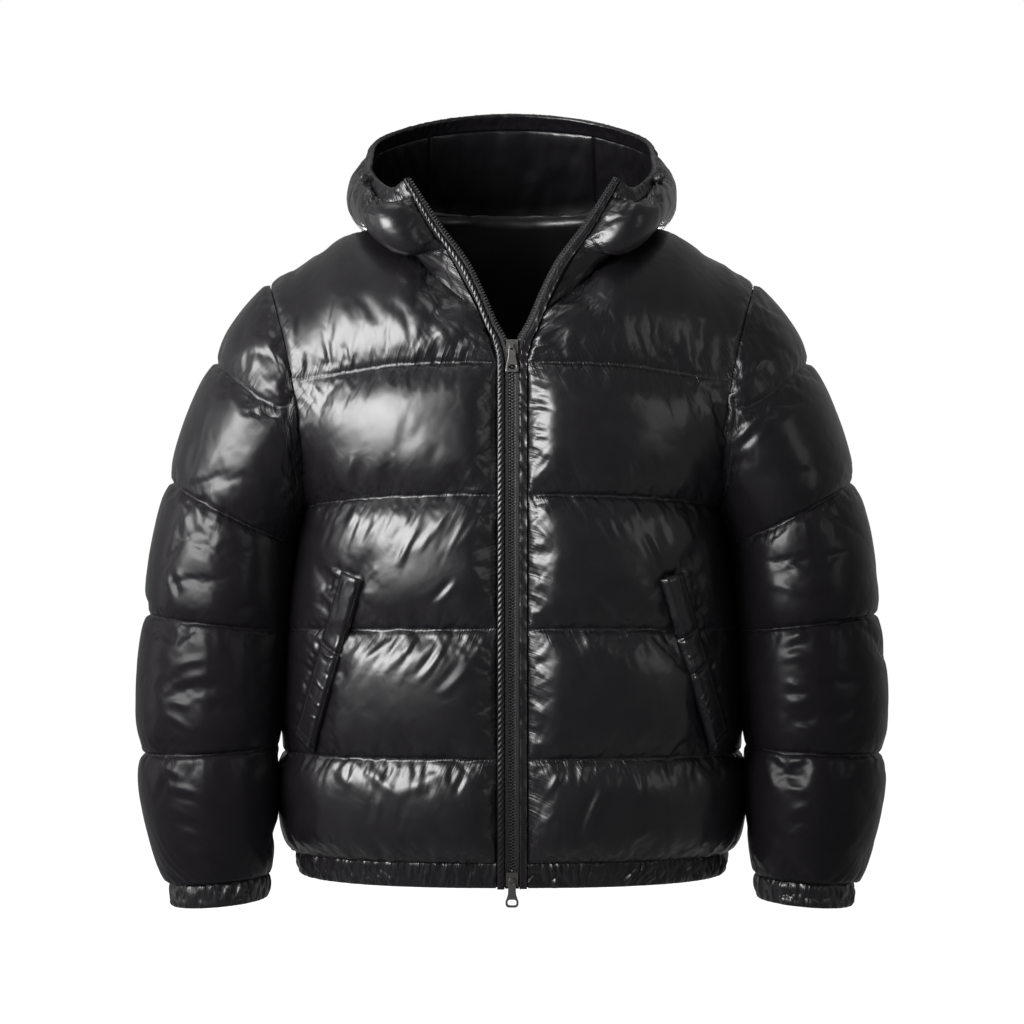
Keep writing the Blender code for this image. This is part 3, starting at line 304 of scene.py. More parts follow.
def top_row(steps, back):
    """Top edge: its part of the neckline, then the shoulder."""
    table = BACK_STEPS if back else FRONT_STEPS
    columns = np.interp(steps, table, np.arange(len(table)))
    corner_step = NECK_STEP[back]
    on_neck = steps <= corner_step
    row = neckline(HOOD_COLUMNS - columns if back else columns)
    corner, tip = neckline(NECK_COLUMNS)[0], armhole(0)[0]
    share = ((steps - corner_step) / (1 - corner_step))[:, None]
    shoulder = corner + (tip - corner) * share
    shoulder[:, 2] += SHOULDER_BOW * 4 * (share * (1 - share))[:, 0]
    return np.where(on_neck[:, None], row, shoulder), on_neck


def torso_grid(levels, steps, back):
    rows = []
    low = torso_row(YOKE, steps, back)
    high, _ = top_row(steps, back)
    reach = np.linalg.norm(high - low, axis=1)[:, None]
    over = np.clip(steps / NECK_STEP[back], 0, 1)[:, None]
    toward = -1.0 if back else 1.0
    leave = unit(np.array([0.0, YOKE_RISE * toward, 1.0])) * reach
    at_zip = np.array(NECK_RISE_BACK if back else NECK_RISE_FRONT)
    at_shoulder = np.array([0.0, toward, SHOULDER_RISE])
    arrive = unit(at_zip + (at_shoulder - at_zip) * over) * reach
    for level in levels:
        if level <= YOKE:
            rows.append(torso_row(level, steps, back))
            continue
        t = level - YOKE
        row = hermite(low, high, leave, arrive, t)
        row += (armhole(armhole_turn(level, back))[0] - row[-1]) * steps[:, None] ** 4
        if not back:
            zip_height = YOKE_ON_ZIP + (NECK_ON_ZIP - YOKE_ON_ZIP) * t
            row += (panel_edge(zip_height)[0] - row[0]) * (1 - steps[:, None]) ** 6
        rows.append(row)
    return np.array(rows)


def lengths_along(points, axis):
    """Distance of each point from the first, along one axis of a grid or a single row."""
    gaps = np.linalg.norm(np.diff(points, axis=axis), axis=-1)
    start = np.zeros_like(np.take(gaps, [0], axis=axis))
    return np.concatenate([start, np.cumsum(gaps, axis=axis)], axis=axis)


def edge_roll(grid, open_start, open_end):
    """The padding's share near a panel's side edges, 0 on each edge that isn't a middle line."""
    from_start = lengths_along(grid, 1)
    from_end = from_start[:, -1:] - from_start
    near = from_end if open_start else from_start if open_end else np.minimum(from_start, from_end)
    return np.sqrt(1 - (1 - np.clip(near / EDGE_ROLL, 0, 1)) ** 2)


def through_seams(seams, levels):
    """A grid whose rows pass smoothly through the seams, which are levels 0, 1, 2..."""
    flat = [(k,) + tuple(seam.ravel()) for k, seam in enumerate(np.array(seams))]
    return curve_through(flat, levels, monotone=False).reshape(len(levels), -1, 3)


def torso_puff(levels, grid, back):
    roll = edge_roll(grid, back, False)
    neck = np.hypot(grid[..., 0], grid[..., 1])
    pressed = (1 - ease(neck, *UNDER_HOOD_REACH)) * ease(grid[..., 2], *UNDER_HOOD_HEIGHT)
    beside = ease(grid[..., 0], *BESIDE_ARM_REACH) * ease(grid[..., 2], *BESIDE_ARM_HEIGHT)
    squash = (1 - UNDER_HOOD * pressed) * (1 - SIDE_SQUASH * beside)
    height = BODY_PUFF * rise(levels - np.floor(levels))
    return height[:, None] * roll * squash


def torso_normals(grid, levels, steps, back):
    normals = grid_normals(grid)
    toward = 1.0 if back else -1.0
    normals = normals * np.sign(normals[len(grid) // 3, 5, 1] * toward)
    for row, level in enumerate(levels):
        if level < UNDERARM:
            normals[row, -1] = (1.0, 0.0, 0.0)
        else:
            normals[row, -1] = armhole_out(armhole_turn(level, back))[0]
    _, on_neck = top_row(steps, back)
    normals[-1] = np.where(on_neck[:, None], neck_out(grid[-1]), unit(np.array(SHOULDER_OUT)))
    return normals


def sleeve_grid(levels, turns):
    angle = np.radians(turns)
    hole = armhole(turns)
    share = CAP_NARROW + (1 - CAP_NARROW) * np.clip(np.cos(angle), 0, 1) ** CAP_POWER
    first = hole + share[:, None] * np.array([CAP_REACH[0], 0.0, CAP_REACH[1]])
    first[:, 1] -= CAP_FORWARD * np.sin(angle)
    seams = [hole + np.array(SLEEVE_CLEAR), first]
    for _, ox, oz, ix, iz, front, behind, y in SLEEVE_LEVELS:
        depth = np.where(np.sin(angle) > 0, front, behind)
        x = (ox + ix) / 2 + (ox - ix) / 2 * np.cos(angle)
        z = (oz + iz) / 2 + (oz - iz) / 2 * np.cos(angle)
        seams.append(np.stack([x, y - depth * np.sin(angle), z], axis=-1))
    return through_seams(seams, levels)


def sleeve_puff(levels, turns, grid):
    cosine = np.cos(np.radians(turns))
    inner = np.clip(-cosine, 0, 1) ** INNER_POWER
    outer = np.clip(cosine, 0, 1)
    spans = np.linalg.norm(np.diff(sleeve_grid(np.arange(6.0), turns), axis=0), axis=2)
    amount = np.zeros(grid.shape[:2])
    for row, level in enumerate(levels):
        baffle = min(int(level), 4)
        height, looser = (LAST_SLEEVE_PUFF, LOOSER) if baffle == 4 else (SLEEVE_PUFF, 1.0)
        narrow = np.clip(spans[baffle] / SHORT_BAFFLE, 0, 1)
        around = 1 - looser * (ARM_SQUASH * inner + OUTSIDE_SQUASH * outer)
        amount[row] = height * rise(level - math.floor(level)) * around * narrow
    return amount


def hood_grid(levels, columns):
    """The hood's shell: level 0 the neckline, 1 to 4 the seams, 5 the channel seam, 6 the rim."""
    seams = [neckline(columns)]
    for seam, height in zip(HOOD_SEAMS, HOOD_ON_ZIP):
        start = (0.0,) + tuple(panel_edge(height)[0])
        rows = tuple((column, x / 1000, y / 1000, z / 1000)
                     for column, (x, y, z) in zip(HOOD_STATIONS, seam))
        last = rows[-2]
        beyond = (2 * rows[-1][0] - last[0], -last[1], last[2], last[3])
        seams.append(curve_through((start,) + rows + (beyond,), columns, monotone=False))
    return through_seams(seams, levels)


def hood_puff(levels, grid, center):
    roll = edge_roll(grid, False, center)
    if center:
        height = CENTER_PUFF * rise(levels - np.floor(levels))
    else:
        height = rise((np.clip(levels, 1, 5) - 1) / 4)
    height = np.where(levels <= 1, WEDGE_PUFF * rise(np.clip(levels, 0, 1)), height)
    return HOOD_PUFF * height[:, None] * roll


# heights and distances from the zip of a pocket welt's ends
WELT_TOP = (-0.3530, 0.1600)
WELT_BOTTOM = (-0.5260, 0.2125)
WELT_WIDTH = 0.0258
WELT_THICK = 0.0065
WELT_SLANT = (0.0045, 0.0095)    # how much higher the outer corners of the ends are
WELT_SUNK = 0.0015               # how far the front is pressed in under a welt


def welt_place(points):
    """Share down the nearer welt, and across it from -1 inside to 1 outside."""
    x, z = np.abs(points[..., 0]), points[..., 2]
    length = WELT_TOP[0] - WELT_BOTTOM[0]
    straight = (WELT_TOP[0] - z) / length
    across = (x - WELT_TOP[1] - (WELT_BOTTOM[1] - WELT_TOP[1]) * straight) / (WELT_WIDTH / 2)
    slant = WELT_SLANT[0] + (WELT_SLANT[1] - WELT_SLANT[0]) * np.clip(straight, 0, 1)
    return straight + slant * np.clip(across, -1.5, 1.5) / length, across


# ---------------------------------------------------------------- noise and fine grids

TILE = 4                 # fine rows and columns for one of the plain lining
HALF_TILE = TILE // 2    # the same before a panel's grid is doubled
MIRROR = np.array([-1.0, 1.0, 1.0])
ACROSS_MIDDLE = np.array([0.0, 1.0, 1.0])    # takes the sideways part off a middle line's normals
LEVEL = np.array([1.0, 1.0, 0.0])            # takes the upright part off


def wobble(u, v, seed):
    """Smooth noise between -1 and 1, with one random value at each whole u and v."""
    table = np.random.default_rng(seed).uniform(-1, 1, (256, 256))
    u, v = np.broadcast_arrays(np.asarray(u, float), np.asarray(v, float))
    low_u, low_v = np.floor(u).astype(int), np.floor(v).astype(int)
    part_u, part_v = u - low_u, v - low_v
    part_u = part_u * part_u * (3 - 2 * part_u)
    part_v = part_v * part_v * (3 - 2 * part_v)
    a, b = low_u % 256, (low_u + 1) % 256
    c, d = low_v % 256, (low_v + 1) % 256
    low = table[a, c] * (1 - part_u) + table[b, c] * part_u
    high = table[a, d] * (1 - part_u) + table[b, d] * part_u
    return low * (1 - part_v) + high * part_v


def even_steps(row_at, first, last, spacing, tile=TILE):
    """Stations that cut the curve row_at(stations) into equal lengths, in whole tiles."""
    fine = np.linspace(first, last, 600)
    far = lengths_along(row_at(fine), 0)
    count = max(1, round(far[-1] / spacing / tile)) * tile
    return np.interp(np.linspace(0, far[-1], count + 1), far, fine)


def even_levels(seams, heights, spacing):
    """Levels with whole tiles between seams; heights are the baffles' heights."""
    levels = []
    for low, high, height in zip(seams[:-1], seams[1:], heights):
        count = max(1, round(height / spacing / HALF_TILE)) * HALF_TILE
        levels += list(low + (high - low) * np.arange(count) / count)
    return np.array(levels + [float(seams[-1])])


def midpoints(values, stops, tube):
    """Twice as many rows, new ones on a smooth curve that may bend sharply at the stops."""
    before = np.roll(values, 1, axis=0)
    after = np.roll(values, -1, axis=0)
    if not tube:
        before[0] = 2 * values[0] - values[1]
        after[-1] = 2 * values[-1] - values[-2]
        values_next, after_next = after[:-1], after[1:]
        here, behind = values[:-1], before[:-1]
    else:
        values_next, after_next = after, np.roll(after, -1, axis=0)
        here, behind = values, before
    stop = np.zeros(len(values), bool)
    stop[stops] = True
    at, to = stop[: len(here)], np.roll(stop, -1)[: len(here)]
    shape = (-1,) + (1,) * (values.ndim - 1)
    behind = np.where(at.reshape(shape), 2 * here - values_next, behind)
    after_next = np.where(to.reshape(shape), 2 * values_next - here, after_next)
    between = (9 * (here + values_next) - behind - after_next) / 16
    result = np.empty((len(values) + len(between),) + values.shape[1:])
    result[0::2] = values
    result[1::2] = between
    return result


def doubled(grid, seam_rows, tube):
    """A grid with twice the rows and columns."""
    grid = midpoints(grid, seam_rows, False)
    return np.swapaxes(midpoints(np.swapaxes(grid, 0, 1), [], tube), 0, 1)


# ---------------------------------------------------------------- meshes


def link(name, mesh, finish):
    made = bpy.data.objects.new(name, mesh)
    bpy.context.scene.collection.objects.link(made)
    mesh.materials.append(finish)
    return made


def stand_for(piece, node, body="jacket"):
    """Lets a piece move with a body and take a solid's place."""
    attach(piece, body)
    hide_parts(node)
    return piece


def face_outward(mesh):
    shaped = bmesh.new()
    shaped.from_mesh(mesh)
    bmesh.ops.recalc_face_normals(shaped, faces=shaped.faces)
    shaped.to_mesh(mesh)
    shaped.free()


def quad_grid(rows, columns, tube):
    """A grid's faces as point numbers; in a tube the last column joins the first."""
    across = columns if tube else columns - 1
    r, c = np.meshgrid(np.arange(rows - 1), np.arange(across), indexing="ij")
    right = (c + 1) % columns
    return np.stack([r * columns + c, r * columns + right,
                     (r + 1) * columns + right, (r + 1) * columns + c], axis=-1)


def read_along(far, rows, spots):
    """The rows' points at some distances along them."""
    return np.stack([np.interp(spots, far, rows[:, k]) for k in range(3)], axis=1)


def repeated(shape, faces, centre, axes, size, first):
    """One small shape at every centre: all its points, and its faces numbered from `first`."""
    points = centre[:, None]
    for k in range(3):
        points = points + shape[None, :, k:k + 1] * size[k] * axes[k][:, None]
    starts = range(first, first + len(shape) * len(centre), len(shape))
    return points.reshape(-1, 3), [[start + k for k in face] for start in starts for face in faces]


def mesh_piece(name, points, faces, finish, smooth_below=50.0):
    mesh = bpy.data.meshes.new(name)
    mesh.from_pydata(np.asarray(points).tolist(), [], faces)
    mesh.shade_smooth()
    if smooth_below < 180:
        mesh.set_sharp_from_angle(angle=math.radians(smooth_below))
    return link(name, mesh, finish)


def wall_piece(name, outer, inner, tube, uv, finish, tile=TILE, edges=None):
    """A closed cloth wall: a fine outer grid, a coarser inner one and rims of wide faces."""
    rows, columns = outer.shape[:2]
    lining = inner[::tile, ::tile]
    low_rows, low_columns = lining.shape[:2]
    start = rows * columns
    low_across = low_columns if tube else low_columns - 1

    def out_at(row, column):
        return row * columns + column % columns

    def in_at(row, column):
        return start + row * low_columns + column % low_columns

    quads = quad_grid(rows, columns, tube)
    backs = start + quad_grid(low_rows, low_columns, tube)[..., [0, 3, 2, 1]]
    faces = quads.reshape(-1, 4).tolist() + backs.reshape(-1, 4).tolist()
    for k in range(low_across):
        bottom = [out_at(0, c) for c in range((k + 1) * tile, k * tile - 1, -1)]
        faces.append(bottom + [in_at(0, k), in_at(0, k + 1)])
        top = [out_at(rows - 1, c) for c in range(k * tile, (k + 1) * tile + 1)]
        faces.append(top + [in_at(low_rows - 1, k + 1), in_at(low_rows - 1, k)])
    if not tube:
        for k in range(low_rows - 1):
            near = [out_at(r, 0) for r in range(k * tile, (k + 1) * tile + 1)]
            faces.append(near + [in_at(k + 1, 0), in_at(k, 0)])
            far = [out_at(r, columns - 1) for r in range((k + 1) * tile, k * tile - 1, -1)]
            faces.append(far + [in_at(k, low_columns - 1), in_at(k + 1, low_columns - 1)])
    points = np.concatenate([outer.reshape(-1, 3), lining.reshape(-1, 3)])
    mesh = bpy.data.meshes.new(name)
    mesh.from_pydata(points.tolist(), [], faces)

    for title, wide in (("Seams", uv), ("Edges", edges)):
        loops = np.zeros((len(mesh.loops), 2), np.float32)
        loops[:, 1] = 1.0
        if wide is not None:
            if tube:
                wide = np.concatenate([wide, wide[:, :1]], axis=1)
                wide[:, -1, 0] = 2 * wide[:, -2, 0] - wide[:, -3, 0]
            corners = [wide[:-1, :-1], wide[:-1, 1:], wide[1:, 1:], wide[1:, :-1]]
            loops[: quads.size] = np.stack(corners, axis=2).reshape(-1, 2)
        layer = mesh.uv_layers.new(name=title)
        layer.data.foreach_set("uv", loops.ravel())

    rim = np.zeros(len(points), bool)
    rim[out_at(0, np.arange(columns))] = True
    rim[out_at(rows - 1, np.arange(columns))] = True
    if not tube:
        rim[out_at(np.arange(rows), 0)] = True
        rim[out_at(np.arange(rows), columns - 1)] = True
    ends = np.empty(len(mesh.edges) * 2, np.int32)
    mesh.edges.foreach_get("vertices", ends)
    sharp = rim[ends.reshape(-1, 2)].all(axis=1)
    mesh.shade_smooth()
    mesh.attributes.new("sharp_edge", "BOOLEAN", "EDGE").data.foreach_set("value", sharp)
    volume = bmesh.new()
    volume.from_mesh(mesh)
    if volume.calc_volume(signed=True) < 0:
        mesh.flip_normals()
    volume.free()
    return link(name, mesh, finish)


# ---------------------------------------------------------------- materials


class Nodes:
    """Short calls for building a node tree."""

    def __init__(self, tree):
        self.tree = tree

    def add(self, kind, **values):
        node = self.tree.nodes.new(kind)
        for key, value in values.items():
            setattr(node, key, value)
        return node

    def join(self, output, socket):
        self.tree.links.new(output, socket)

    def put(self, value, socket):
        if isinstance(value, (int, float)):
            socket.default_value = value
        else:
            self.join(value, socket)

    def math(self, operation, a, b=0.0, c=0.0):
        node = self.add("ShaderNodeMath", operation=operation)
        for value, socket in zip((a, b, c), node.inputs):
            self.put(value, socket)
        return node.outputs[0]

    def noise(self, vector, scale, detail=2.0, roughness=0.5, distortion=0.0):
        node = self.add("ShaderNodeTexNoise")
        self.join(vector, node.inputs["Vector"])
        node.inputs["Scale"].default_value = scale
        node.inputs["Detail"].default_value = detail
        node.inputs["Roughness"].default_value = roughness
        node.inputs["Distortion"].default_value = distortion
        return node.outputs["Fac"]

    def stretched(self, vector, scale):
        node = self.add("ShaderNodeMapping")
        self.join(vector, node.inputs["Vector"])
        node.inputs["Scale"].default_value = scale
        return node.outputs[0]

    def ramp(self, value, low, high, to_low, to_high):
        node = self.add("ShaderNodeMapRange")
        for socket, number in zip(node.inputs[1:5], (low, high, to_low, to_high)):
            socket.default_value = number
        self.join(value, node.inputs["Value"])
        return node.outputs["Result"]

    def tint(self, value, dark, light):
        node = self.add("ShaderNodeMix", data_type="RGBA")
        self.join(value, node.inputs["Factor"])
        node.inputs["A"].default_value = (*dark, 1.0)
        node.inputs["B"].default_value = (*light, 1.0)
        return node.outputs["Result"]


def finish(name, dark, light, rough, bump, metallic=0.0, spread=90.0, sockets=(),
           painted_shade_by_height=None):
    """A Principled material; bump(nodes, place, seams) gives a height in metres.

    The last argument gives two heights and the gloss shares below and above them: painted shade.
    """
    made = bpy.data.materials.new(name)
    made.use_nodes = True
    nodes = Nodes(made.node_tree)
    shader = made.node_tree.nodes["Principled BSDF"]
    coordinates = nodes.add("ShaderNodeTexCoord")
    place, seams = coordinates.outputs["Object"], coordinates.outputs["UV"]
    cloud = nodes.noise(place, spread, 3.0)
    nodes.join(nodes.tint(cloud, dark, light), shader.inputs["Base Color"])
    nodes.join(nodes.ramp(cloud, 0.3, 0.7, *rough), shader.inputs["Roughness"])
    shader.inputs["Metallic"].default_value = metallic
    for socket, value in sockets:
        shader.inputs[socket].default_value = value
    # Painted shade: the specular level and coat fade with the object's height, dimmer lower down.
    if painted_shade_by_height:
        split = nodes.add("ShaderNodeSeparateXYZ")
        nodes.join(place, split.inputs[0])
        gloss = nodes.ramp(split.outputs[2], *painted_shade_by_height)
        for socket in ("Specular IOR Level", "Coat Weight"):
            full = shader.inputs[socket].default_value
            nodes.join(nodes.math("MULTIPLY", gloss, full), shader.inputs[socket])
    relief = nodes.add("ShaderNodeBump")
    relief.inputs["Distance"].default_value = 1.0
    relief.inputs["Strength"].default_value = 1.0
    nodes.join(bump(nodes, place, seams), relief.inputs["Height"])
    nodes.join(relief.outputs[0], shader.inputs["Normal"])
    made.diffuse_color = (*light, 1.0)
    return made


def nylon_bump(nodes, place, seams):
    """Puckers that run off the stitching, soft crumples all over, and the cloth's weave."""
    edges = nodes.add("ShaderNodeUVMap", uv_map="Edges").outputs[0]
    puckers = 0.0
    for place_on, fine, long, fade, height in ((seams, 360.0, 20.0, -85.0, 0.0014),
                                               (edges, 340.0, 20.0, -85.0, 0.0010)):
        split = nodes.add("ShaderNodeSeparateXYZ")
        nodes.join(place_on, split.inputs[0])
        near = nodes.math("POWER", 2.718, nodes.math("MULTIPLY", split.outputs[1], fade))
        pleats = nodes.noise(nodes.stretched(place_on, (fine, long, 1.0)), 1.0, 2.0, 0.55, 0.4)
        pleats = nodes.math("MULTIPLY", nodes.math("MULTIPLY", pleats, near), height)
        puckers = nodes.math("ADD", pleats, puckers)
    soft = nodes.math("MULTIPLY", nodes.noise(place, 30.0, 2.0, 0.5, 0.6), 0.0009)
    weave = nodes.math("MULTIPLY", nodes.noise(place, 900.0, 1.0), 0.000012)
    return nodes.math("ADD", nodes.math("ADD", puckers, soft), weave)


def woven_bump(nodes, place, seams):
    ribs = nodes.add("ShaderNodeTexWave", wave_type="BANDS", bands_direction="DIAGONAL")
    nodes.join(place, ribs.inputs["Vector"])
    ribs.inputs["Scale"].default_value = 420.0
    ribs.inputs["Distortion"].default_value = 1.5
    return nodes.math("MULTIPLY", ribs.outputs["Fac"], 0.00012)


def grain_bump(nodes, place, seams):
    return nodes.math("MULTIPLY", nodes.noise(place, 1500.0, 2.0), 0.00003)


NYLON_LOOK = {
    "dark": (0.0048, 0.0042, 0.0052), "light": (0.0068, 0.0059, 0.0070), "rough": (0.30, 0.37),
    "bump": nylon_bump, "spread": 40.0,
    "sockets": (("IOR", 1.5), ("Coat Weight", 0.2), ("Coat Roughness", 0.16)),
}
NYLON = finish("coated_nylon", **NYLON_LOOK)
# Sleeve nylon with painted shade: gloss 0.80 of full above z -0.15, 0.22 below -0.40.
SHADED_SLEEVE_NYLON = finish("coated_nylon_sleeve_painted_shade", painted_shade_by_height=(-0.40, -0.15, 0.22, 0.80), **NYLON_LOOK)
TAPE_CLOTH = finish("woven_tape", (0.004, 0.004, 0.0045), (0.008, 0.0075, 0.008), (0.5, 0.65),
                    woven_bump, spread=300.0)
TEETH_PLASTIC = finish("teeth_plastic", (0.020, 0.019, 0.020), (0.034, 0.033, 0.033), (0.20, 0.30),
                       grain_bump, spread=500.0)
GUNMETAL = finish("gunmetal", (0.13, 0.125, 0.12), (0.20, 0.19, 0.185), (0.28, 0.38),
                  grain_bump, metallic=0.85, spread=400.0)
LOCK_PLASTIC = finish("lock_plastic", (0.012, 0.012, 0.013), (0.02, 0.02, 0.021), (0.35, 0.5),
                      grain_bump, spread=300.0)
THREAD = finish("thread", (0.02, 0.019, 0.021), (0.060, 0.057, 0.061), (0.32, 0.45),
                woven_bump, spread=600.0)


# ---------------------------------------------------------------- quilted panels

START = 0.82             # share of the padding from which the cloth is inflated
CLOTH = {                # shrink_min cuts the cloth 4.5 % longer than its place
    "quality": 5, "mass": 0.15, "tension_stiffness": 15, "compression_stiffness": 15,
    "shear_stiffness": 5, "bending_stiffness": 0.2, "air_damping": 5, "use_pressure": True,
    "uniform_pressure_force": 4.0, "shrink_min": -0.045,
}
LAST_FRAME = 20
DEEPEST = 0.0070         # how far an inflated point may sink under the solid, rise over it
HIGHEST = 0.0045         # and move along it
SIDEWAYS = 0.0050
LINING_PUFF = 0.0030
LINING_WAVES = 0.0017
SEAM_REACH = 0.014       # how far from a seam the buckles keep SEAM_BUCKLES of their size
SEAM_BUCKLES = 0.42
SEAM_PUCKERS = (0.0005, 0.022)       # height and reach
EDGE_PUCKERS = (0.0004, 0.024)
WELT_PUCKERS = (0.0020, 0.013, 0.0075)
BAND_GATHERS = (0.0016, 0.022)
SEAM_SHIFT, SIDE_SHIFT, EDGE_SHIFT = 3.1, 40.0, 7.0      # give each seam its own stretch of noise
CRUMPLES = ((0.00020, 0.019, 0.026), (0.00007, 0.007, 0.009))    # height, size across and up


class Panel:
    """A quilted cloth piece, from the form shared with its solid to its finished mesh."""

    def __init__(self, name, seed, levels, grid, normals, puff, seam_levels, tube=False,
                 held=None, room=1.0, tile=TILE, calm=0.4):
        self.name, self.seed, self.tube, self.tile = name, seed, tube, tile
        self.levels = levels
        self.grid, self.normals, self.puff = grid, normals, puff
        self.seam_rows = [int(np.argmin(abs(levels - level))) for level in seam_levels]
        self.room = room * np.ones(puff.shape)
        self.held = np.zeros(puff.shape, bool) if held is None else held
        self.calm = calm
        self.start = grid + normals * (puff * START)[..., None]
        uneven = 0.0002 * np.random.default_rng(seed).normal(size=puff.shape)
        self.start += normals * uneven[..., None]

    def pinned(self):
        pins = self.held.copy()
        pins[self.seam_rows] = True
        pins[[0, -1]] = True
        if not self.tube:
            pins[:, [0, -1]] = True
        return pins

    def cloth(self):
        """The object that Blender inflates."""
        rows, columns = self.puff.shape
        quads = quad_grid(rows, columns, self.tube)
        sample = quads[rows // 2, quads.shape[1] // 2]
        flat = self.start.reshape(-1, 3)
        facing = np.cross(flat[sample[1]] - flat[sample[0]], flat[sample[3]] - flat[sample[0]])
        if facing @ self.normals.reshape(-1, 3)[sample[0]] < 0:
            quads = quads[..., ::-1]
        mesh = bpy.data.meshes.new(self.name + "_cloth")
        mesh.from_pydata(flat.tolist(), [], quads.reshape(-1, 4).tolist())
        made = bpy.data.objects.new(mesh.name, mesh)
        bpy.context.scene.collection.objects.link(made)
        group = made.vertex_groups.new(name="pins")
        group.add(np.flatnonzero(self.pinned().ravel()).tolist(), 1.0, "REPLACE")
        change = made.modifiers.new("Cloth", "CLOTH")
        change.collision_settings.use_collision = False
        change.collision_settings.use_self_collision = False
        for key, value in CLOTH.items():
            setattr(change.settings, key, value)
        change.settings.vertex_group_mass = "pins"
        change.settings.effector_weights.gravity = 0
        return made

    def settle(self, moved):
        """Takes the inflated places, kept near the solid's surface."""
        shift = moved - self.start
        out = np.sum(shift * self.normals, axis=2)
        along = shift - self.normals * out[..., None]
        over = self.puff * (START - 1) + out
        calm = softened(over, self.tube)
        away, _ = seam_distance(self.grid, self.seam_rows)
        near = np.exp(-((away / SEAM_REACH) ** 2))
        over = calm + (over - calm) * (self.calm + (SEAM_BUCKLES - self.calm) * near)
        limit = np.where(over > 0, HIGHEST * self.room, DEEPEST)
        over = limit * np.tanh(over / np.maximum(limit, 1e-6))
        size = np.linalg.norm(along, axis=2, keepdims=True)
        along *= SIDEWAYS * np.tanh(size / SIDEWAYS) / np.maximum(size, 1e-9)
        pins = self.pinned()[..., None]
        place = self.grid + self.normals * (self.puff + over)[..., None] + along
        plain = self.grid + self.normals * self.puff[..., None]
        return np.where(pins, plain, place)


def inflated(panels):
    """Runs the cloth simulation of all panels side by side."""
    cloths = [panel.cloth() for panel in panels]
    scene = bpy.context.scene
    for frame_number in range(1, LAST_FRAME + 1):
        scene.frame_set(frame_number)
    graph = bpy.context.evaluated_depsgraph_get()
    results = {}
    for panel, cloth in zip(panels, cloths):
        made = cloth.evaluated_get(graph).to_mesh()
        moved = np.empty(panel.start.size, np.float32)
        made.vertices.foreach_get("co", moved)
        results[panel.name] = panel.settle(moved.reshape(panel.start.shape).astype(float))
    for cloth in cloths:
        mesh = cloth.data
        bpy.data.objects.remove(cloth)
        bpy.data.meshes.remove(mesh)
    scene.frame_set(1)
    return results


def softened(values, tube, times=6):
    """The values without their short waves."""
    for _ in range(times):
        for axis in (0, 1):
            before, after = np.roll(values, 1, axis=axis), np.roll(values, -1, axis=axis)
            if axis == 0 or not tube:
                ends = np.take(values, [0, -1], axis=axis)
                if axis == 0:
                    before[0], after[-1] = ends[0], ends[1]
                else:
                    before[:, 0], after[:, -1] = ends[:, 0], ends[:, 1]
            values = (before + 2 * values + after) / 4
    return values


def seam_distance(grid, seam_rows):
    """Signed distance of every point from its nearest quilting seam, up the panel."""
    height = lengths_along(grid, 0)
    seams = height[seam_rows]
    gap = height[None] - seams[:, None]
    nearest = np.argmin(np.abs(gap), axis=0)
    return np.take_along_axis(gap, nearest[None], axis=0)[0], nearest


def pucker(along, away, seed, size, reach, wave=0.0068):
    """Short pleats that run off a seam, each with its own lean, length and depth."""
    lean = 0.35 + 0.45 * wobble(along / 0.06, 0.5, seed + 4)
    place = along + lean * away
    drift = 0.3 * wobble(along / 0.03, away / 0.03, seed + 1)
    pleat = wobble(place / wave + drift, away / 0.05, seed)
    pleat += 0.7 * wobble(place / (0.62 * wave), away / 0.04, seed + 5)
    local = reach * (0.45 + 1.3 * wobble(place / 0.014, 0.5, seed + 2) ** 2)
    strong = 0.6 + 0.6 * np.clip(wobble(along / 0.045, 0.5, seed + 3) + 0.2, -0.5, 1)
    start = np.clip(away / 0.0015, 0, 1)
    return size * strong * start * np.exp(-((away / np.maximum(local, 0.003)) ** 1.2)) * pleat


def gathers(along, away, seed, size, reach, wave=0.010):
    """Long folds that run off a gathered edge, round on top and sharp below."""
    drift = 0.5 * wobble(along / 0.03, away / 0.03, seed + 1)
    fold = wobble(along / wave + drift, away / 0.06, seed)
    fold = 2 * np.abs(fold) ** 0.8 - 0.9
    local = reach * (1 + 0.7 * wobble(along / 0.023, 0.5, seed + 2))
    return size * fold * np.exp(-(away / np.maximum(local, 0.004))) * np.clip(away / 0.002, 0, 1)


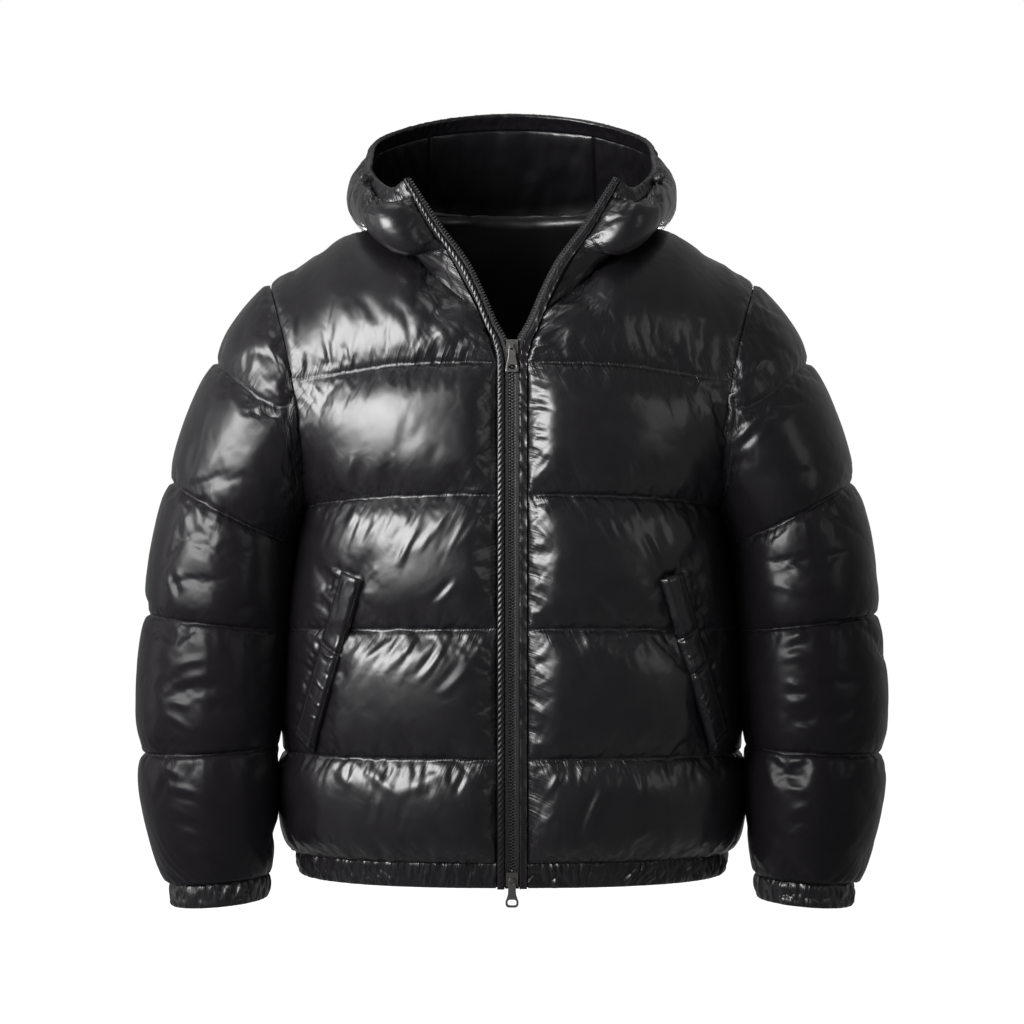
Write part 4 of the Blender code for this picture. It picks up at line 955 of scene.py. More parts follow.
def finished(panel, moved):
    """Doubles a panel's grid and adds its puckers, crumples and listed creases."""
    outer = doubled(moved, panel.seam_rows, panel.tube)
    base = doubled(panel.grid, panel.seam_rows, panel.tube)
    normals = unit(doubled(panel.normals, panel.seam_rows, panel.tube))
    rows = [2 * row for row in panel.seam_rows]
    away, nearest = seam_distance(base, rows)
    along = lengths_along(base, 1)
    facing = grid_normals(outer, panel.tube)
    facing *= np.sign(np.sum(facing * normals, axis=2, keepdims=True))
    height = np.zeros(away.shape)
    shape_key = 31 * panel.seed
    own = SEAM_SHIFT * nearest + np.where(away > 0, 0.0, SIDE_SHIFT)
    height += pucker(along + own, np.abs(away), shape_key, *SEAM_PUCKERS)
    up = lengths_along(base, 0)
    if not panel.tube:
        first = pucker(up, along, shape_key + 5, *EDGE_PUCKERS)
        last = pucker(up + EDGE_SHIFT, along[:, -1:] - along, shape_key + 6, *EDGE_PUCKERS)
        height += first + last
    quiet = np.clip(np.abs(away) / 0.01, 0, 1)
    for k, (size, across, tall) in enumerate(CRUMPLES):
        height += quiet * size * wobble(along / across, up / tall, shape_key + 7 + k)
    height += creases_on(panel.name, outer, facing)
    at_end = panel.tube or panel.name.startswith("hood")
    from_band = up[-1:] - up if at_end else up
    height += gathers(along, from_band, shape_key + 10, *BAND_GATHERS)
    if panel.name.startswith("front"):
        share, across = welt_place(base)
        beside = np.maximum(np.abs(across) - 1, 0) * WELT_WIDTH / 2
        length = share * (WELT_TOP[0] - WELT_BOTTOM[0])
        inside = ease(share, -0.03, 0.02) * (1 - ease(share, 0.98, 1.03))
        height += inside * pucker(length, beside + 0.0015, shape_key + 9, *WELT_PUCKERS)
    if not panel.tube:
        height[:, [0, -1]] = 0.0
    height[[0, -1]] = 0.0
    outer = outer + facing * height[..., None]
    uv = np.stack([along + 0.4 * up, np.abs(away)], axis=2)
    edges = None
    if not panel.tube:
        far = along[:, -1:] - along
        edges = np.stack([up + 0.4 * along, np.minimum(along, far)], axis=2)
    return outer, base, normals, uv, edges


def lined(panel, base, normals):
    """The lining: slightly slack between the seams, and wrinkled."""
    away, _ = seam_distance(base, [2 * row for row in panel.seam_rows])
    slack = np.sqrt(np.clip(np.abs(away) / 0.018, 0, 1))
    up, along = lengths_along(base, 0), lengths_along(base, 1)
    if not panel.tube:
        near = np.minimum(along, along[:, -1:] - along)
        slack = slack * np.sqrt(np.clip(near / 0.012, 0, 1))
    waves = wobble(along / 0.013, up / 0.021, panel.seed + 500)
    waves += 0.5 * wobble(along / 0.007, up / 0.01, 7)
    inward = slack * (LINING_PUFF + LINING_WAVES * waves)
    return base - normals * (WALL + inward)[..., None]


def drag(points, table, plane=(0, 2)):
    """Height of a crease table's folds at each point, seen in the plane of its ends."""
    flat = points[..., plane]
    total = np.zeros(flat.shape[:2])
    t = np.linspace(0, 1, 15)[:, None]
    for x0, z0, x1, z1, bend, half, height in table:
        start, end = np.array([x0, z0]), np.array([x1, z1])
        run = end - start
        control = (start + end) / 2 + np.array([-run[1], run[0]]) * bend
        path = start * (1 - t) ** 2 + 2 * control * t * (1 - t) + end * t**2
        low, high = path.min(axis=0) - 3 * half, path.max(axis=0) + 3 * half
        inside = np.all((flat > low) & (flat < high), axis=2)
        spots = flat[inside]
        best = np.full(len(spots), 9.0)
        place = np.zeros(len(spots))
        for k in range(len(path) - 1):
            step = path[k + 1] - path[k]
            part = np.clip((spots - path[k]) @ step / (step @ step), 0, 1)
            gap = np.linalg.norm(spots - path[k] - part[:, None] * step, axis=1)
            closer = gap < best
            best[closer] = gap[closer]
            place[closer] = ((k + part) / (len(path) - 1))[closer]
        taper = np.sin(np.pi * np.clip(place, 0.02, 0.98)) ** 0.7
        across = best / half
        ridge = 1.15 * np.exp(-(across**2)) - 0.35 * np.exp(-((across / 2) ** 2))
        total[inside] += height * taper * ridge
    return total


# Creases listed one by one, seen from the front. Each row holds x and z of both ends in mm, the
# bend in hundredths of the length, and half width and height in tenths of a mm (- is a trough).


def creases(*rows, place=1000):
    """A crease table in metres, with the bends as shares; place is 1 m in the ends' unit."""
    units = (place,) * 4 + (100, 10000, 10000)
    return tuple(tuple(value / parts for value, parts in zip(row, units)) for row in rows)


LEFT_FRONT = creases(
    (-92, -65, -71, -90, 10, 50, 18), (-100, -70, -78, -100, 10, 50, -16),
    (-157, -68, -136, -102, 15, 70, -18), (-127, -74, -100, -104, 15, 70, -14),
    (-173, -78, -162, -108, 10, 60, 10), (-82, -94, -66, -123, 10, 50, 12),
    (-108, -93, -97, -127, 5, 50, -10), (-223, -83, -224, -113, 0, 30, 8),
    (-215, -78, -219, -123, 0, 35, -8), (-50, -108, -16, -128, 0, 40, -10),
    (-57, -118, -18, -134, 0, 40, 9), (-190, -113, -184, -143, 5, 30, -14),
    (-170, -116, -165, -145, 0, 30, -12), (-157, -127, -160, -148, 0, 30, -12),
    (-207, -123, -208, -153, 0, 30, -8), (-132, -123, -128, -143, 5, 30, -10),
    (-102, -189, -112, -243, -10, 70, -9), (-87, -197, -104, -229, -10, 70, -7),
    (-72, -220, -82, -245, -5, 60, -7), (-160, -232, -166, -259, 0, 40, 14),
    (-152, -237, -156, -263, 0, 40, -12), (-37, -245, -49, -265, 0, 40, 12),
    (-19, -247, -28, -265, 20, 30, 15), (-211, -165, -197, -185, 10, 24, -6),
    (-205, -161, -189, -173, 10, 24, 8), (-181, -247, -184, -267, 0, 40, -12),
    (-117, -229, -120, -257, 0, 40, 10), (-88, -293, -113, -340, 5, 36, 14),
    (-96, -285, -122, -320, 5, 34, -12), (-65, -285, -96, -332, 5, 36, 11),
    (-76, -285, -102, -327, 5, 34, -11), (-41, -287, -67, -333, 5, 36, 11),
    (-50, -285, -76, -329, 5, 34, -10), (-27, -282, -54, -325, 5, 36, 11),
    (-104, -317, -115, -345, 10, 36, 14), (-54, -357, -77, -383, 5, 36, 14),
    (-60, -355, -82, -379, 5, 36, -13), (-21, -377, -31, -390, 20, 30, 11),
    (-128, -282, -146, -317, 5, 36, 11), (-136, -283, -154, -322, 5, 36, -10),
    (-154, -282, -167, -309, 5, 36, 12), (-162, -280, -173, -302, 0, 40, -12),
    (-195, -280, -202, -293, 0, 30, 13), (-185, -284, -193, -296, 0, 30, 13),
    (-177, -349, -187, -355, 0, 30, 11), (-179, -366, -190, -377, 0, 40, 11),
    (-181, -360, -193, -369, 0, 40, -12), (-149, -357, -136, -343, -10, 40, 12),
    (-125, -409, -151, -432, 8, 40, -11), (-117, -411, -144, -437, 8, 40, 11),
    (-107, -411, -134, -439, 8, 36, -10), (-94, -411, -124, -445, 8, 36, 12),
    (-72, -417, -100, -454, 8, 36, -13), (-64, -417, -92, -458, 8, 36, 13),
    (-50, -432, -78, -466, 8, 36, -11), (-42, -441, -70, -470, 8, 36, 11),
    (-25, -411, -44, -437, 10, 40, 11), (-32, -409, -50, -432, 10, 40, -10),
    (-166, -445, -177, -464, 20, 60, -16), (-181, -476, -190, -498, 0, 40, 12),
    (-151, -544, -116, -572, 5, 60, 18), (-62, -542, -112, -570, 5, 60, 16),
    (-119, -538, -129, -568, 0, 40, -16), (-133, -571, -137, -604, 0, 40, 13),
    (-140, -566, -144, -602, 0, 40, -12), (-181, -544, -160, -566, 0, 50, 12),
    (-34, -538, -57, -566, 0, 40, -12), (-108, -576, -114, -611, 0, 40, -10),
)
RIGHT_FRONT = creases(
    (29, -91, 49, -82, 10, 35, 15), (25, -99, 50, -86, 10, 26, -8),
    (23, -108, 54, -90, 10, 26, 8), (21, -114, 55, -96, 10, 26, -7),
    (20, -119, 55, -101, 8, 26, 8), (19, -124, 50, -113, 5, 26, -6),
    (18, -126, 48, -120, 5, 26, 7), (152, -129, 160, -145, 0, 40, -10),
    (177, -133, 187, -148, 0, 40, 12), (217, -76, 227, -110, 0, 50, -10),
    (17, -149, 41, -153, 10, 26, 8), (17, -164, 35, -168, 10, 26, 8),
    (17, -176, 39, -178, 10, 26, 8), (17, -189, 43, -191, 10, 26, 9),
    (17, -202, 33, -206, 10, 26, 7), (17, -214, 37, -217, 10, 26, 7),
    (17, -229, 35, -233, 10, 26, 7), (17, -157, 36, -160, 10, 26, -7),
    (17, -170, 37, -173, 10, 26, -7), (17, -183, 40, -185, 10, 26, -8),
    (17, -208, 37, -211, 10, 26, -7), (115, -235, 118, -259, 0, 40, -13),
    (120, -237, 124, -259, 0, 40, 11), (140, -232, 149, -257, 0, 40, -12),
    (158, -245, 173, -264, 0, 40, -12), (204, -180, 215, -208, 10, 30, -9),
    (195, -177, 209, -211, 10, 30, 8), (80, -276, 88, -289, 0, 30, 15),
    (117, -276, 130, -294, 0, 35, 17), (140, -277, 149, -286, 0, 30, 13),
    (166, -277, 175, -284, 0, 30, 12), (191, -282, 211, -301, 10, 40, 14),
    (129, -310, 149, -351, 10, 50, -22), (137, -313, 152, -349, 10, 40, 15),
    (148, -299, 158, -324, 5, 50, -16), (177, -349, 197, -360, 0, 50, -14),
    (148, -363, 137, -374, 0, 40, -12), (70, -324, 90, -340, 0, 60, -10),
    (79, -371, 101, -396, 0, 60, -12), (87, -369, 108, -392, 0, 60, 10),
    (19, -283, 37, -291, 10, 26, 9), (19, -299, 39, -318, 10, 26, 9),
    (19, -318, 36, -326, 10, 26, 8), (19, -337, 33, -363, 10, 26, 9),
    (19, -291, 38, -303, 10, 26, -8), (19, -326, 35, -339, 10, 26, -8),
    (72, -409, 80, -425, 0, 35, 15), (81, -409, 85, -417, 0, 30, 12),
    (126, -421, 137, -436, 0, 60, -10), (148, -413, 167, -425, 0, 50, -12),
    (117, -503, 123, -523, 0, 40, -12), (19, -425, 37, -438, 0, 26, 9),
    (19, -439, 39, -457, 0, 26, 9), (19, -465, 39, -454, 0, 26, 9),
    (19, -433, 37, -446, 0, 26, -8), (19, -481, 34, -496, 10, 26, 8),
    (19, -504, 30, -500, 10, 26, 8), (53, -538, 31, -574, 5, 30, 15),
    (72, -540, 67, -562, 0, 30, 11), (94, -562, 72, -618, -12, 35, 18),
    (140, -604, 119, -618, 5, 35, 18), (86, -560, 66, -614, -12, 40, -12),
    (48, -574, 36, -616, 0, 60, -12), (187, -546, 177, -576, 0, 60, -10),
)
LEFT_SLEEVE = creases(
    (-259, -103, -267, -154, 5, 60, 15), (-247, -88, -236, -127, 5, 50, -15),
    (-275, -93, -287, -127, 10, 70, -12), (-251, -168, -238, -199, 5, 22, 9),
    (-245, -166, -230, -194, 5, 22, -6), (-279, -164, -273, -184, 0, 30, -8),
    (-289, -161, -285, -181, 0, 30, 8), (-310, -174, -317, -216, 10, 80, 14),
    (-324, -208, -332, -247, 10, 60, -14), (-315, -247, -334, -257, 10, 50, 12),
    (-295, -231, -303, -262, 10, 60, -12), (-323, -276, -317, -296, 0, 40, 15),
    (-306, -276, -293, -296, 5, 40, 16), (-296, -276, -280, -301, 5, 40, -15),
    (-339, -267, -342, -285, 0, 40, 13), (-314, -275, -306, -299, 5, 40, -14),
    (-331, -271, -330, -291, 0, 40, -12), (-354, -352, -345, -376, 10, 50, 15),
    (-344, -346, -332, -370, 10, 50, 14), (-348, -350, -338, -374, 10, 40, -13),
    (-326, -322, -300, -329, 10, 60, -10), (-339, -445, -309, -438, 10, 40, 16),
    (-347, -480, -326, -487, 10, 40, 15), (-354, -492, -323, -514, 10, 50, 17),
    (-333, -461, -304, -454, 10, 50, 14), (-340, -469, -309, -465, 10, 50, -14),
    (-350, -501, -330, -514, 10, 40, -13), (-336, -418, -315, -423, 10, 60, 10),
    (-354, -545, -332, -561, 10, 40, 15), (-349, -566, -316, -573, 10, 40, 15),
    (-352, -586, -322, -599, 10, 50, 16), (-338, -613, -309, -619, 10, 50, 13),
    (-346, -576, -315, -583, 10, 40, -14), (-348, -602, -317, -608, 10, 40, -12),
    (-331, -631, -305, -637, 10, 50, 12),
)
RIGHT_SLEEVE = creases(
    (236, -105, 228, -135, 5, 50, 14), (254, -93, 269, -127, -10, 60, -12),
    (223, -222, 257, -188, 8, 40, 17), (228, -228, 261, -200, 8, 40, -15),
    (233, -196, 243, -174, 0, 40, 14), (243, -216, 269, -194, 10, 50, 13),
    (259, -172, 267, -196, 0, 50, -11), (283, -247, 303, -238, 10, 50, 13),
    (311, -238, 334, -247, 0, 50, -11), (275, -338, 293, -350, 10, 40, 15),
    (261, -363, 291, -370, 10, 50, 14), (267, -353, 297, -344, 10, 50, -12),
    (291, -285, 297, -305, 0, 50, 11), (322, -277, 328, -297, 0, 50, -11),
    (277, -418, 299, -412, 10, 40, 16), (273, -439, 301, -434, 10, 50, 15),
    (276, -461, 297, -469, 10, 40, 15), (279, -484, 303, -479, 10, 50, 14),
    (275, -429, 299, -423, 10, 40, -14), (275, -473, 299, -474, 10, 40, -13),
    (281, -504, 306, -510, 10, 40, 13), (277, -545, 297, -540, 10, 40, 15),
    (275, -568, 299, -573, 10, 40, 15), (281, -592, 303, -586, 10, 50, 15),
    (277, -613, 299, -621, 10, 40, 14), (275, -557, 297, -558, 10, 40, -13),
    (279, -602, 301, -604, 10, 40, -13), (286, -637, 306, -642, 10, 50, 12),
)


LEFT_HOOD = creases(
    (-140, 88, -118, 94, 10, 35, 13), (-128, 78, -97, 66, -20, 35, -18),
    (-106, 80, -80, 42, -15, 35, 15), (-96, 70, -76, 34, -12, 30, -15),
    (-150, 52, -132, 30, 15, 45, -15), (-114, 30, -84, 18, 15, 40, 14),
    (-122, 24, -92, 12, 15, 35, -14), (-86, 60, -112, 30, 25, 50, 12),
    (-146, 70, -136, 48, 10, 30, 12), (-84, 0, -64, -24, 10, 30, 12),
    (-78, 4, -58, -22, 10, 28, -12), (-92, -4, -70, -30, 10, 30, 12),
    (-100, -6, -78, -34, 10, 30, -12),
)
RIGHT_HOOD = creases(
    (104, 84, 146, 80, -22, 30, -20), (118, 82, 112, 62, 10, 28, -16),
    (128, 78, 124, 58, 5, 28, -16), (138, 76, 137, 60, 0, 28, -14),
    (109, 80, 98, 58, 10, 30, 14), (92, 60, 80, 30, 12, 35, -15),
    (98, 48, 84, 20, 12, 40, 13), (148, 56, 154, 30, -10, 30, 14),
    (142, 60, 150, 34, -10, 30, -13), (110, 14, 82, 6, -15, 35, 14),
    (116, 8, 88, -2, -15, 30, -13), (96, -6, 66, -18, -10, 28, 13),
    (92, -12, 62, -26, -10, 28, -12),
)


def turned(table):
    """A crease table for the other side of the body."""
    return [(-x0, z0, -x1, z1, -bend, half, height) for x0, z0, x1, z1, bend, half, height in table]


def away_from_zip(table):
    return [row for row in table if abs(row[0]) > 0.05]


def fan(seed, z, x0, x1, count, lean, length, height):
    """Fine folds off a seam: uneven in place, length, lean and height."""
    chance = np.random.default_rng(seed)
    rows = []
    for k in range(count):
        x = x0 + (x1 - x0) * (k + chance.uniform(0.1, 0.9)) / count
        long = length * chance.uniform(0.35, 1.0) ** 1.3
        across = abs(long) * (lean + chance.uniform(-0.12, 0.12))
        first = z + math.copysign(0.004, length)
        high = height * chance.uniform(0.5, 1.1) * (1 if k % 2 else -1)
        bend = chance.uniform(-0.08, 0.08)
        half = chance.uniform(0.0022, 0.0032)
        rows.append((x, first, x + across, first + long, bend, half, high))
    return tuple(rows)


def fans(*rows):
    return sum((fan(*row) for row in rows), ())


# seed, height of the seam, x of both ends, count, lean, length (+ runs up), height
LEFT_FRONT += fans(
    (301, -0.150, -0.222, -0.050, 22, 0.10, 0.040, 0.0007),
    (302, -0.150, -0.200, -0.040, 16, -0.25, -0.020, 0.0004),
    (303, -0.277, -0.190, -0.022, 28, -0.50, -0.075, 0.0008),
    (304, -0.277, -0.200, -0.030, 16, 0.15, 0.022, 0.0005),
    (305, -0.406, -0.150, -0.020, 26, -0.75, -0.060, 0.0008),
    (306, -0.406, -0.150, -0.020, 14, 0.20, 0.022, 0.0005),
    (307, -0.536, -0.190, -0.022, 26, -0.30, -0.042, 0.0008),
    (308, -0.536, -0.190, -0.022, 14, 0.15, 0.020, 0.0005),
)
RIGHT_FRONT += fans(
    (311, -0.150, 0.050, 0.222, 18, -0.10, 0.034, 0.0006),
    (312, -0.150, 0.040, 0.200, 14, 0.25, -0.020, 0.0004),
    (313, -0.277, 0.060, 0.200, 18, 0.45, -0.040, 0.0007),
    (314, -0.277, 0.050, 0.200, 14, -0.15, 0.024, 0.0005),
    (315, -0.406, 0.060, 0.165, 14, 0.50, -0.036, 0.0006),
    (316, -0.406, 0.050, 0.150, 12, -0.20, 0.022, 0.0005),
    (317, -0.536, 0.045, 0.200, 20, 0.10, -0.040, 0.0007),
    (318, -0.536, 0.040, 0.190, 12, -0.15, 0.020, 0.0005),
)
LEFT_SLEEVE += fans(
    (321, -0.288, -0.345, -0.260, 12, 0.10, -0.034, 0.0006),
    (322, -0.400, -0.350, -0.270, 12, 0.15, -0.030, 0.0006),
    (323, -0.532, -0.350, -0.280, 10, 0.10, -0.026, 0.0005),
)
RIGHT_SLEEVE += fans(
    (331, -0.288, 0.260, 0.345, 12, -0.10, -0.034, 0.0006),
    (332, -0.400, 0.270, 0.350, 12, -0.15, -0.030, 0.0006),
    (333, -0.532, 0.280, 0.350, 10, -0.10, -0.026, 0.0005),
)
HAND_CREASES = {         # tables for the front and the back of each piece
    "front_left": (LEFT_FRONT, ()),
    "front_right": (RIGHT_FRONT, ()),
    "back": ((), away_from_zip(turned(LEFT_FRONT)) + away_from_zip(turned(RIGHT_FRONT))),
    "sleeve_left": (LEFT_SLEEVE, turned(RIGHT_SLEEVE)),
    "sleeve_right": (RIGHT_SLEEVE, turned(LEFT_SLEEVE)),
    "hood_left": (LEFT_HOOD, ()),
    "hood_right": (RIGHT_HOOD, ()),
}


def creases_on(name, points, facing):
    """Height of a piece's listed creases, each on the side that it belongs to."""
    front, back = HAND_CREASES.get(name, ((), ()))
    share = ease(-facing[..., 1], -0.1, 0.25)
    return drag(points, front) * share + drag(points, back) * (1 - share)


def stitches(name, rows, pitch=0.0032, length=0.0022, radius=0.00028, lift=0.0003):
    """Thread that shows over a seam: rows of points with the way that they face."""
    bead = [(0.0, 0.0, -0.5)]
    for height in (-0.32, 0.32):
        for k in range(5):
            angle = 2 * math.pi * k / 5
            bead.append((0.9 * math.cos(angle), 0.9 * math.sin(angle), height))
    bead.append((0.0, 0.0, 0.5))
    faces = [[0, 1 + (k + 1) % 5, 1 + k] for k in range(5)]
    faces += [[1 + k, 1 + (k + 1) % 5, 6 + (k + 1) % 5, 6 + k] for k in range(5)]
    faces += [[11, 6 + k, 6 + (k + 1) % 5] for k in range(5)]
    points, all_faces, count = [], [], 0
    for row, facing in rows:
        far = lengths_along(row, 0)
        spots = np.arange(pitch / 2, far[-1] - length / 2, pitch)
        centre = read_along(far, row, spots)
        run = unit(read_along(far, row, spots + 0.0008) - centre)
        cross = unit(np.cross(run, unit(read_along(far, facing, spots))))
        out = np.cross(cross, run)
        made, numbered = repeated(np.array(bead), faces, centre + out * lift, (cross, out, run),
                                  (radius, radius, length), count)
        points.append(made)
        all_faces += numbered
        count += len(made)
    piece = mesh_piece(name, np.concatenate(points), all_faces, THREAD, smooth_below=180)
    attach(piece, "jacket")


# ---------------------------------------------------------------- the panels' grids

FRONT_SPACING = 0.0042
BACK_SPACING = 0.0055
SLEEVE_SPACING = 0.0048
HOOD_SPACING = 0.0044
PUSH = 0.0032            # how far the sleeve and the side of the body press together
PUSHED_FROM = (-0.540, -0.500)
PUSHED_TO = (-0.265, -0.235)
ELBOW = (-0.300, 0.045)  # height and half width of the harder push at the elbow
SIDE_REACH = (0.185, 0.232)          # from which x to which the push grows
CROWDED_REACH = (0.185, 0.220)       # where the arm leaves the side less room to swell
CROWDED_DEPTH = (0.24, 0.28)
BAFFLES = (0.107, 0.130, 0.134, 0.140, 0.155)
SLEEVE_BAFFLES = (0.075, 0.120, 0.135, 0.135, 0.125)
HOOD_BAFFLES = (0.045, 0.050, 0.035, 0.045, 0.060)


def closeness(height):
    """Share of the full push of the sleeve and the body's side against each other."""
    level = ease(height, *PUSHED_FROM) * (1 - ease(height, *PUSHED_TO))
    return level * (1 + 1.1 * np.exp(-(((height - ELBOW[0]) / ELBOW[1]) ** 2)))


def torso_panel(name, seed, back, spacing):
    steps = even_steps(lambda s: torso_row(2.0, s, back), 0.0, 1.0, spacing, HALF_TILE)
    levels = even_levels(range(6), BAFFLES, spacing)
    grid = torso_grid(levels, steps, back)
    normals = torso_normals(grid, levels, steps, back)
    puff = torso_puff(levels, grid, back)
    grid[..., 0] += PUSH * closeness(grid[..., 2]) * ease(grid[..., 0], *SIDE_REACH)
    near_arm = ease(grid[..., 0], *CROWDED_REACH) * ease(-grid[..., 2], *CROWDED_DEPTH)
    room = 1 - 0.9 * near_arm
    if back:
        normals[:, 0] = unit(normals[:, 0] * ACROSS_MIDDLE)
        grid, normals = (np.concatenate([g[:, :0:-1] * MIRROR, g], axis=1) for g in (grid, normals))
        puff, room = (np.concatenate([g[:, :0:-1], g], axis=1) for g in (puff, room))
        return Panel(name, seed, levels, grid, normals, puff, range(6), room=room)
    share, across = welt_place(grid)
    held = (share > 0) & (share < 1) & (np.abs(across) < 1.0)
    sunk = ease(share, -0.05, 0) * (1 - ease(share, 1, 1.05))
    sunk = (1 - ease(np.abs(across), 0.95, 1.3)) * sunk
    puff = np.maximum(puff - WELT_SUNK * sunk, 0)
    return Panel(name, seed, levels, grid, normals, puff, range(6), held=held, room=room, calm=0.3)


def sleeve_panel(name, seed):
    turns = even_steps(lambda a: sleeve_grid(np.array([2.0]), a)[0], -180.0, 180.0,
                       SLEEVE_SPACING, HALF_TILE)[:-1]
    levels = even_levels(range(6), SLEEVE_BAFFLES, SLEEVE_SPACING)
    grid = sleeve_grid(levels, turns)
    normals = grid_normals(grid, round_tube=True)
    middle = grid.mean(axis=1, keepdims=True)
    normals *= np.sign(np.sum(normals * (grid - middle), axis=2).sum())
    normals[0] = armhole_out(turns)
    puff = sleeve_puff(levels, turns, grid)
    inner = np.clip(-np.cos(np.radians(turns)), 0, 1)
    grid[..., 0] -= PUSH * closeness(grid[..., 2]) * inner[None] ** 1.5
    room = np.ones(puff.shape) * (1 - 0.95 * inner**0.7)[None]
    return Panel(name, seed, levels, grid, normals, puff, range(6), tube=True, room=room)


def hood_panel(name, seed, center):
    columns = even_steps(lambda c: hood_grid(np.array([3.0]), c)[0],
                         *((9.0, 11.0) if center else (0.0, 9.0)), HOOD_SPACING, HALF_TILE)
    levels = even_levels(range(6), HOOD_BAFFLES, HOOD_SPACING)
    grid = hood_grid(levels, columns)
    wide = hood_grid(levels, np.arange(12.0))
    flip = np.sign(grid_normals(wide)[-4, -1, 1])
    normals = grid_normals(grid) * flip
    normals[0] = neck_out(grid[0])
    puff = hood_puff(levels, grid, center)
    if center:
        normals[:, -1] = unit(normals[:, -1] * ACROSS_MIDDLE)
        grid, normals = (np.concatenate([g, g[:, -2::-1] * MIRROR], axis=1)
                         for g in (grid, normals))
        puff = np.concatenate([puff, puff[:, -2::-1]], axis=1)
    return Panel(name, seed, levels, grid, normals, puff, range(6) if center else (0, 1, 5),
                 room=0.8, tile=HALF_TILE)


def mirror_panel(panel, name, seed):
    """The same form on the viewer's left, with its own inflation."""
    return Panel(name, seed, panel.levels, panel.grid * MIRROR, panel.normals * MIRROR, panel.puff,
                 panel.levels[panel.seam_rows], panel.tube, panel.held, panel.room, panel.tile,
                 panel.calm)


def build_panels():
    front = torso_panel("front_right", 11, False, FRONT_SPACING)
    sleeve = sleeve_panel("sleeve_right", 23)
    side = hood_panel("hood_right", 37, False)
    return [
        mirror_panel(sleeve, "sleeve_left", 24), sleeve,
        torso_panel("back", 15, True, BACK_SPACING),
        front, mirror_panel(front, "front_left", 12),
        side, mirror_panel(side, "hood_left", 38),
        hood_panel("hood_center", 39, True),
    ]


def make_quilted():
    panels = build_panels()
    places = inflated(panels)
    for panel in panels:
        outer, base, normals, uv, edges = finished(panel, places[panel.name])
        # The sleeves take the nylon with painted shade, its gloss weaker lower down.
        cloth = SHADED_SLEEVE_NYLON if panel.tube else NYLON
        lining = lined(panel, base, normals)
        piece = wall_piece(panel.name + "_cloth", outer, lining, panel.tube, uv, cloth, panel.tile,
                           edges=edges)
        stand_for(piece, panel.name)
        rows = [(outer[2 * row], normals[2 * row]) for row in panel.seam_rows[1:-1]]
        if panel.tube:
            rows = [[np.concatenate([g, g[:1]]) for g in row] for row in rows]
        stitches(f"stitches_{panel.name}", rows)


# ---------------------------------------------------------------- pockets

IN_FRONT = -0.5          # y from which rays are cast back at the front
WELT_ROWS = 148
WELT_COLUMNS = 24
WELT_CROWN = 1.12 * WELT_THICK
WELT_LEAST = 0.0008
WELT_ROLL = 0.006                       # how far from its ends a welt rolls down
WELT_SEAM = (0.0042, 0.0019)            # depth and half width of a cross seam
WELT_LIPS = (0.0008, 0.006, 0.004)      # height, distance and half width of its lips
WELT_STRIP = 0.955                      # share down at which the end strip is sewn
STRIP_SEAM = (0.0022, 0.0014)
STRIP_DROP = (0.0010, 0.002)
STITCHED_COLUMNS = (3, 21)              # of the welt's grid
STITCHED_ROWS = (3, 140, 145)
POCKETS = {              # share down of the cross seams, then creases in tenths of a mm
    "left": ((0.43,), creases(
        (-100, -800, 50, -790, -30, 16, 14), (-80, -860, 40, -850, -25, 18, -8),
        (-70, -1090, 50, -1120, -15, 15, 11), (0, -1290, 90, -1270, -10, 15, 11),
        (-110, -1240, -50, -1290, 0, 15, 10), (-30, -1440, 80, -1400, 0, 15, 11),
        (-60, -60, -70, -300, 5, 20, 12), (70, -80, 60, -200, 0, 18, 8),
        (10, -560, 80, -600, 10, 25, -7), (0, -980, 90, -960, 0, 20, -8),
        (-90, -150, -60, -540, 5, 30, -7), place=10000,
    )),
    "right": ((0.345, 0.55), creases(
        (60, -80, 50, -280, 5, 18, 12), (-90, -560, 0, -600, 10, 22, -8),
        (-80, -790, 20, -800, 10, 16, 10), (-90, -1220, 10, -1180, 0, 16, 9),
        (-90, -1310, 20, -1260, 0, 16, 10), (-90, -1390, 10, -1350, 0, 15, 9),
        (-80, -1460, 40, -1420, 0, 16, -8), (30, -1060, 90, -1090, 0, 18, 9), place=10000,
    )),
}


def bridged(depth):
    """Each point's depth brought forward to that of its foremost neighbour."""
    rows, columns = depth.shape
    padded = np.pad(depth, 1, mode="edge")
    around = [padded[i:i + rows, j:j + columns] for i in range(3) for j in range(3)]
    return np.min(around, axis=0)


def solid_points(node):
    """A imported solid's corners in the shared frame."""
    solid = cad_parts[node]
    return np.array([solid.matrix_world @ v.co for v in solid.data.vertices])


def tree_of(node):
    faces = [tuple(face.vertices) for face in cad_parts[node].data.polygons]
    return BVHTree.FromPolygons(solid_points(node).tolist(), faces)


def welt_bed(front, sign, share, across):
    """y of the plain front under each point of a welt, smooth over the quilting seam."""
    stations = np.arange(-1, 18) / 16
    strips = np.linspace(-1, 1, 5)
    z = WELT_TOP[0] + (WELT_BOTTOM[0] - WELT_TOP[0]) * stations
    middle = WELT_TOP[1] + (WELT_BOTTOM[1] - WELT_TOP[1]) * stations
    tree = tree_of(front)
    hits = [[tree.ray_cast((sign * (m + a * WELT_WIDTH / 2), IN_FRONT, h), (0, 1, 0))[0].y
             for a in strips] for h, m in zip(z, middle)]
    depth = bridged(np.array(hits))
    columns = curve_through(np.column_stack([strips, depth.T]), across).T
    return np.stack([curve_through(np.column_stack([stations, columns[:, k]]), share[:, k])[:, 0]
                     for k in range(len(across))], axis=1)


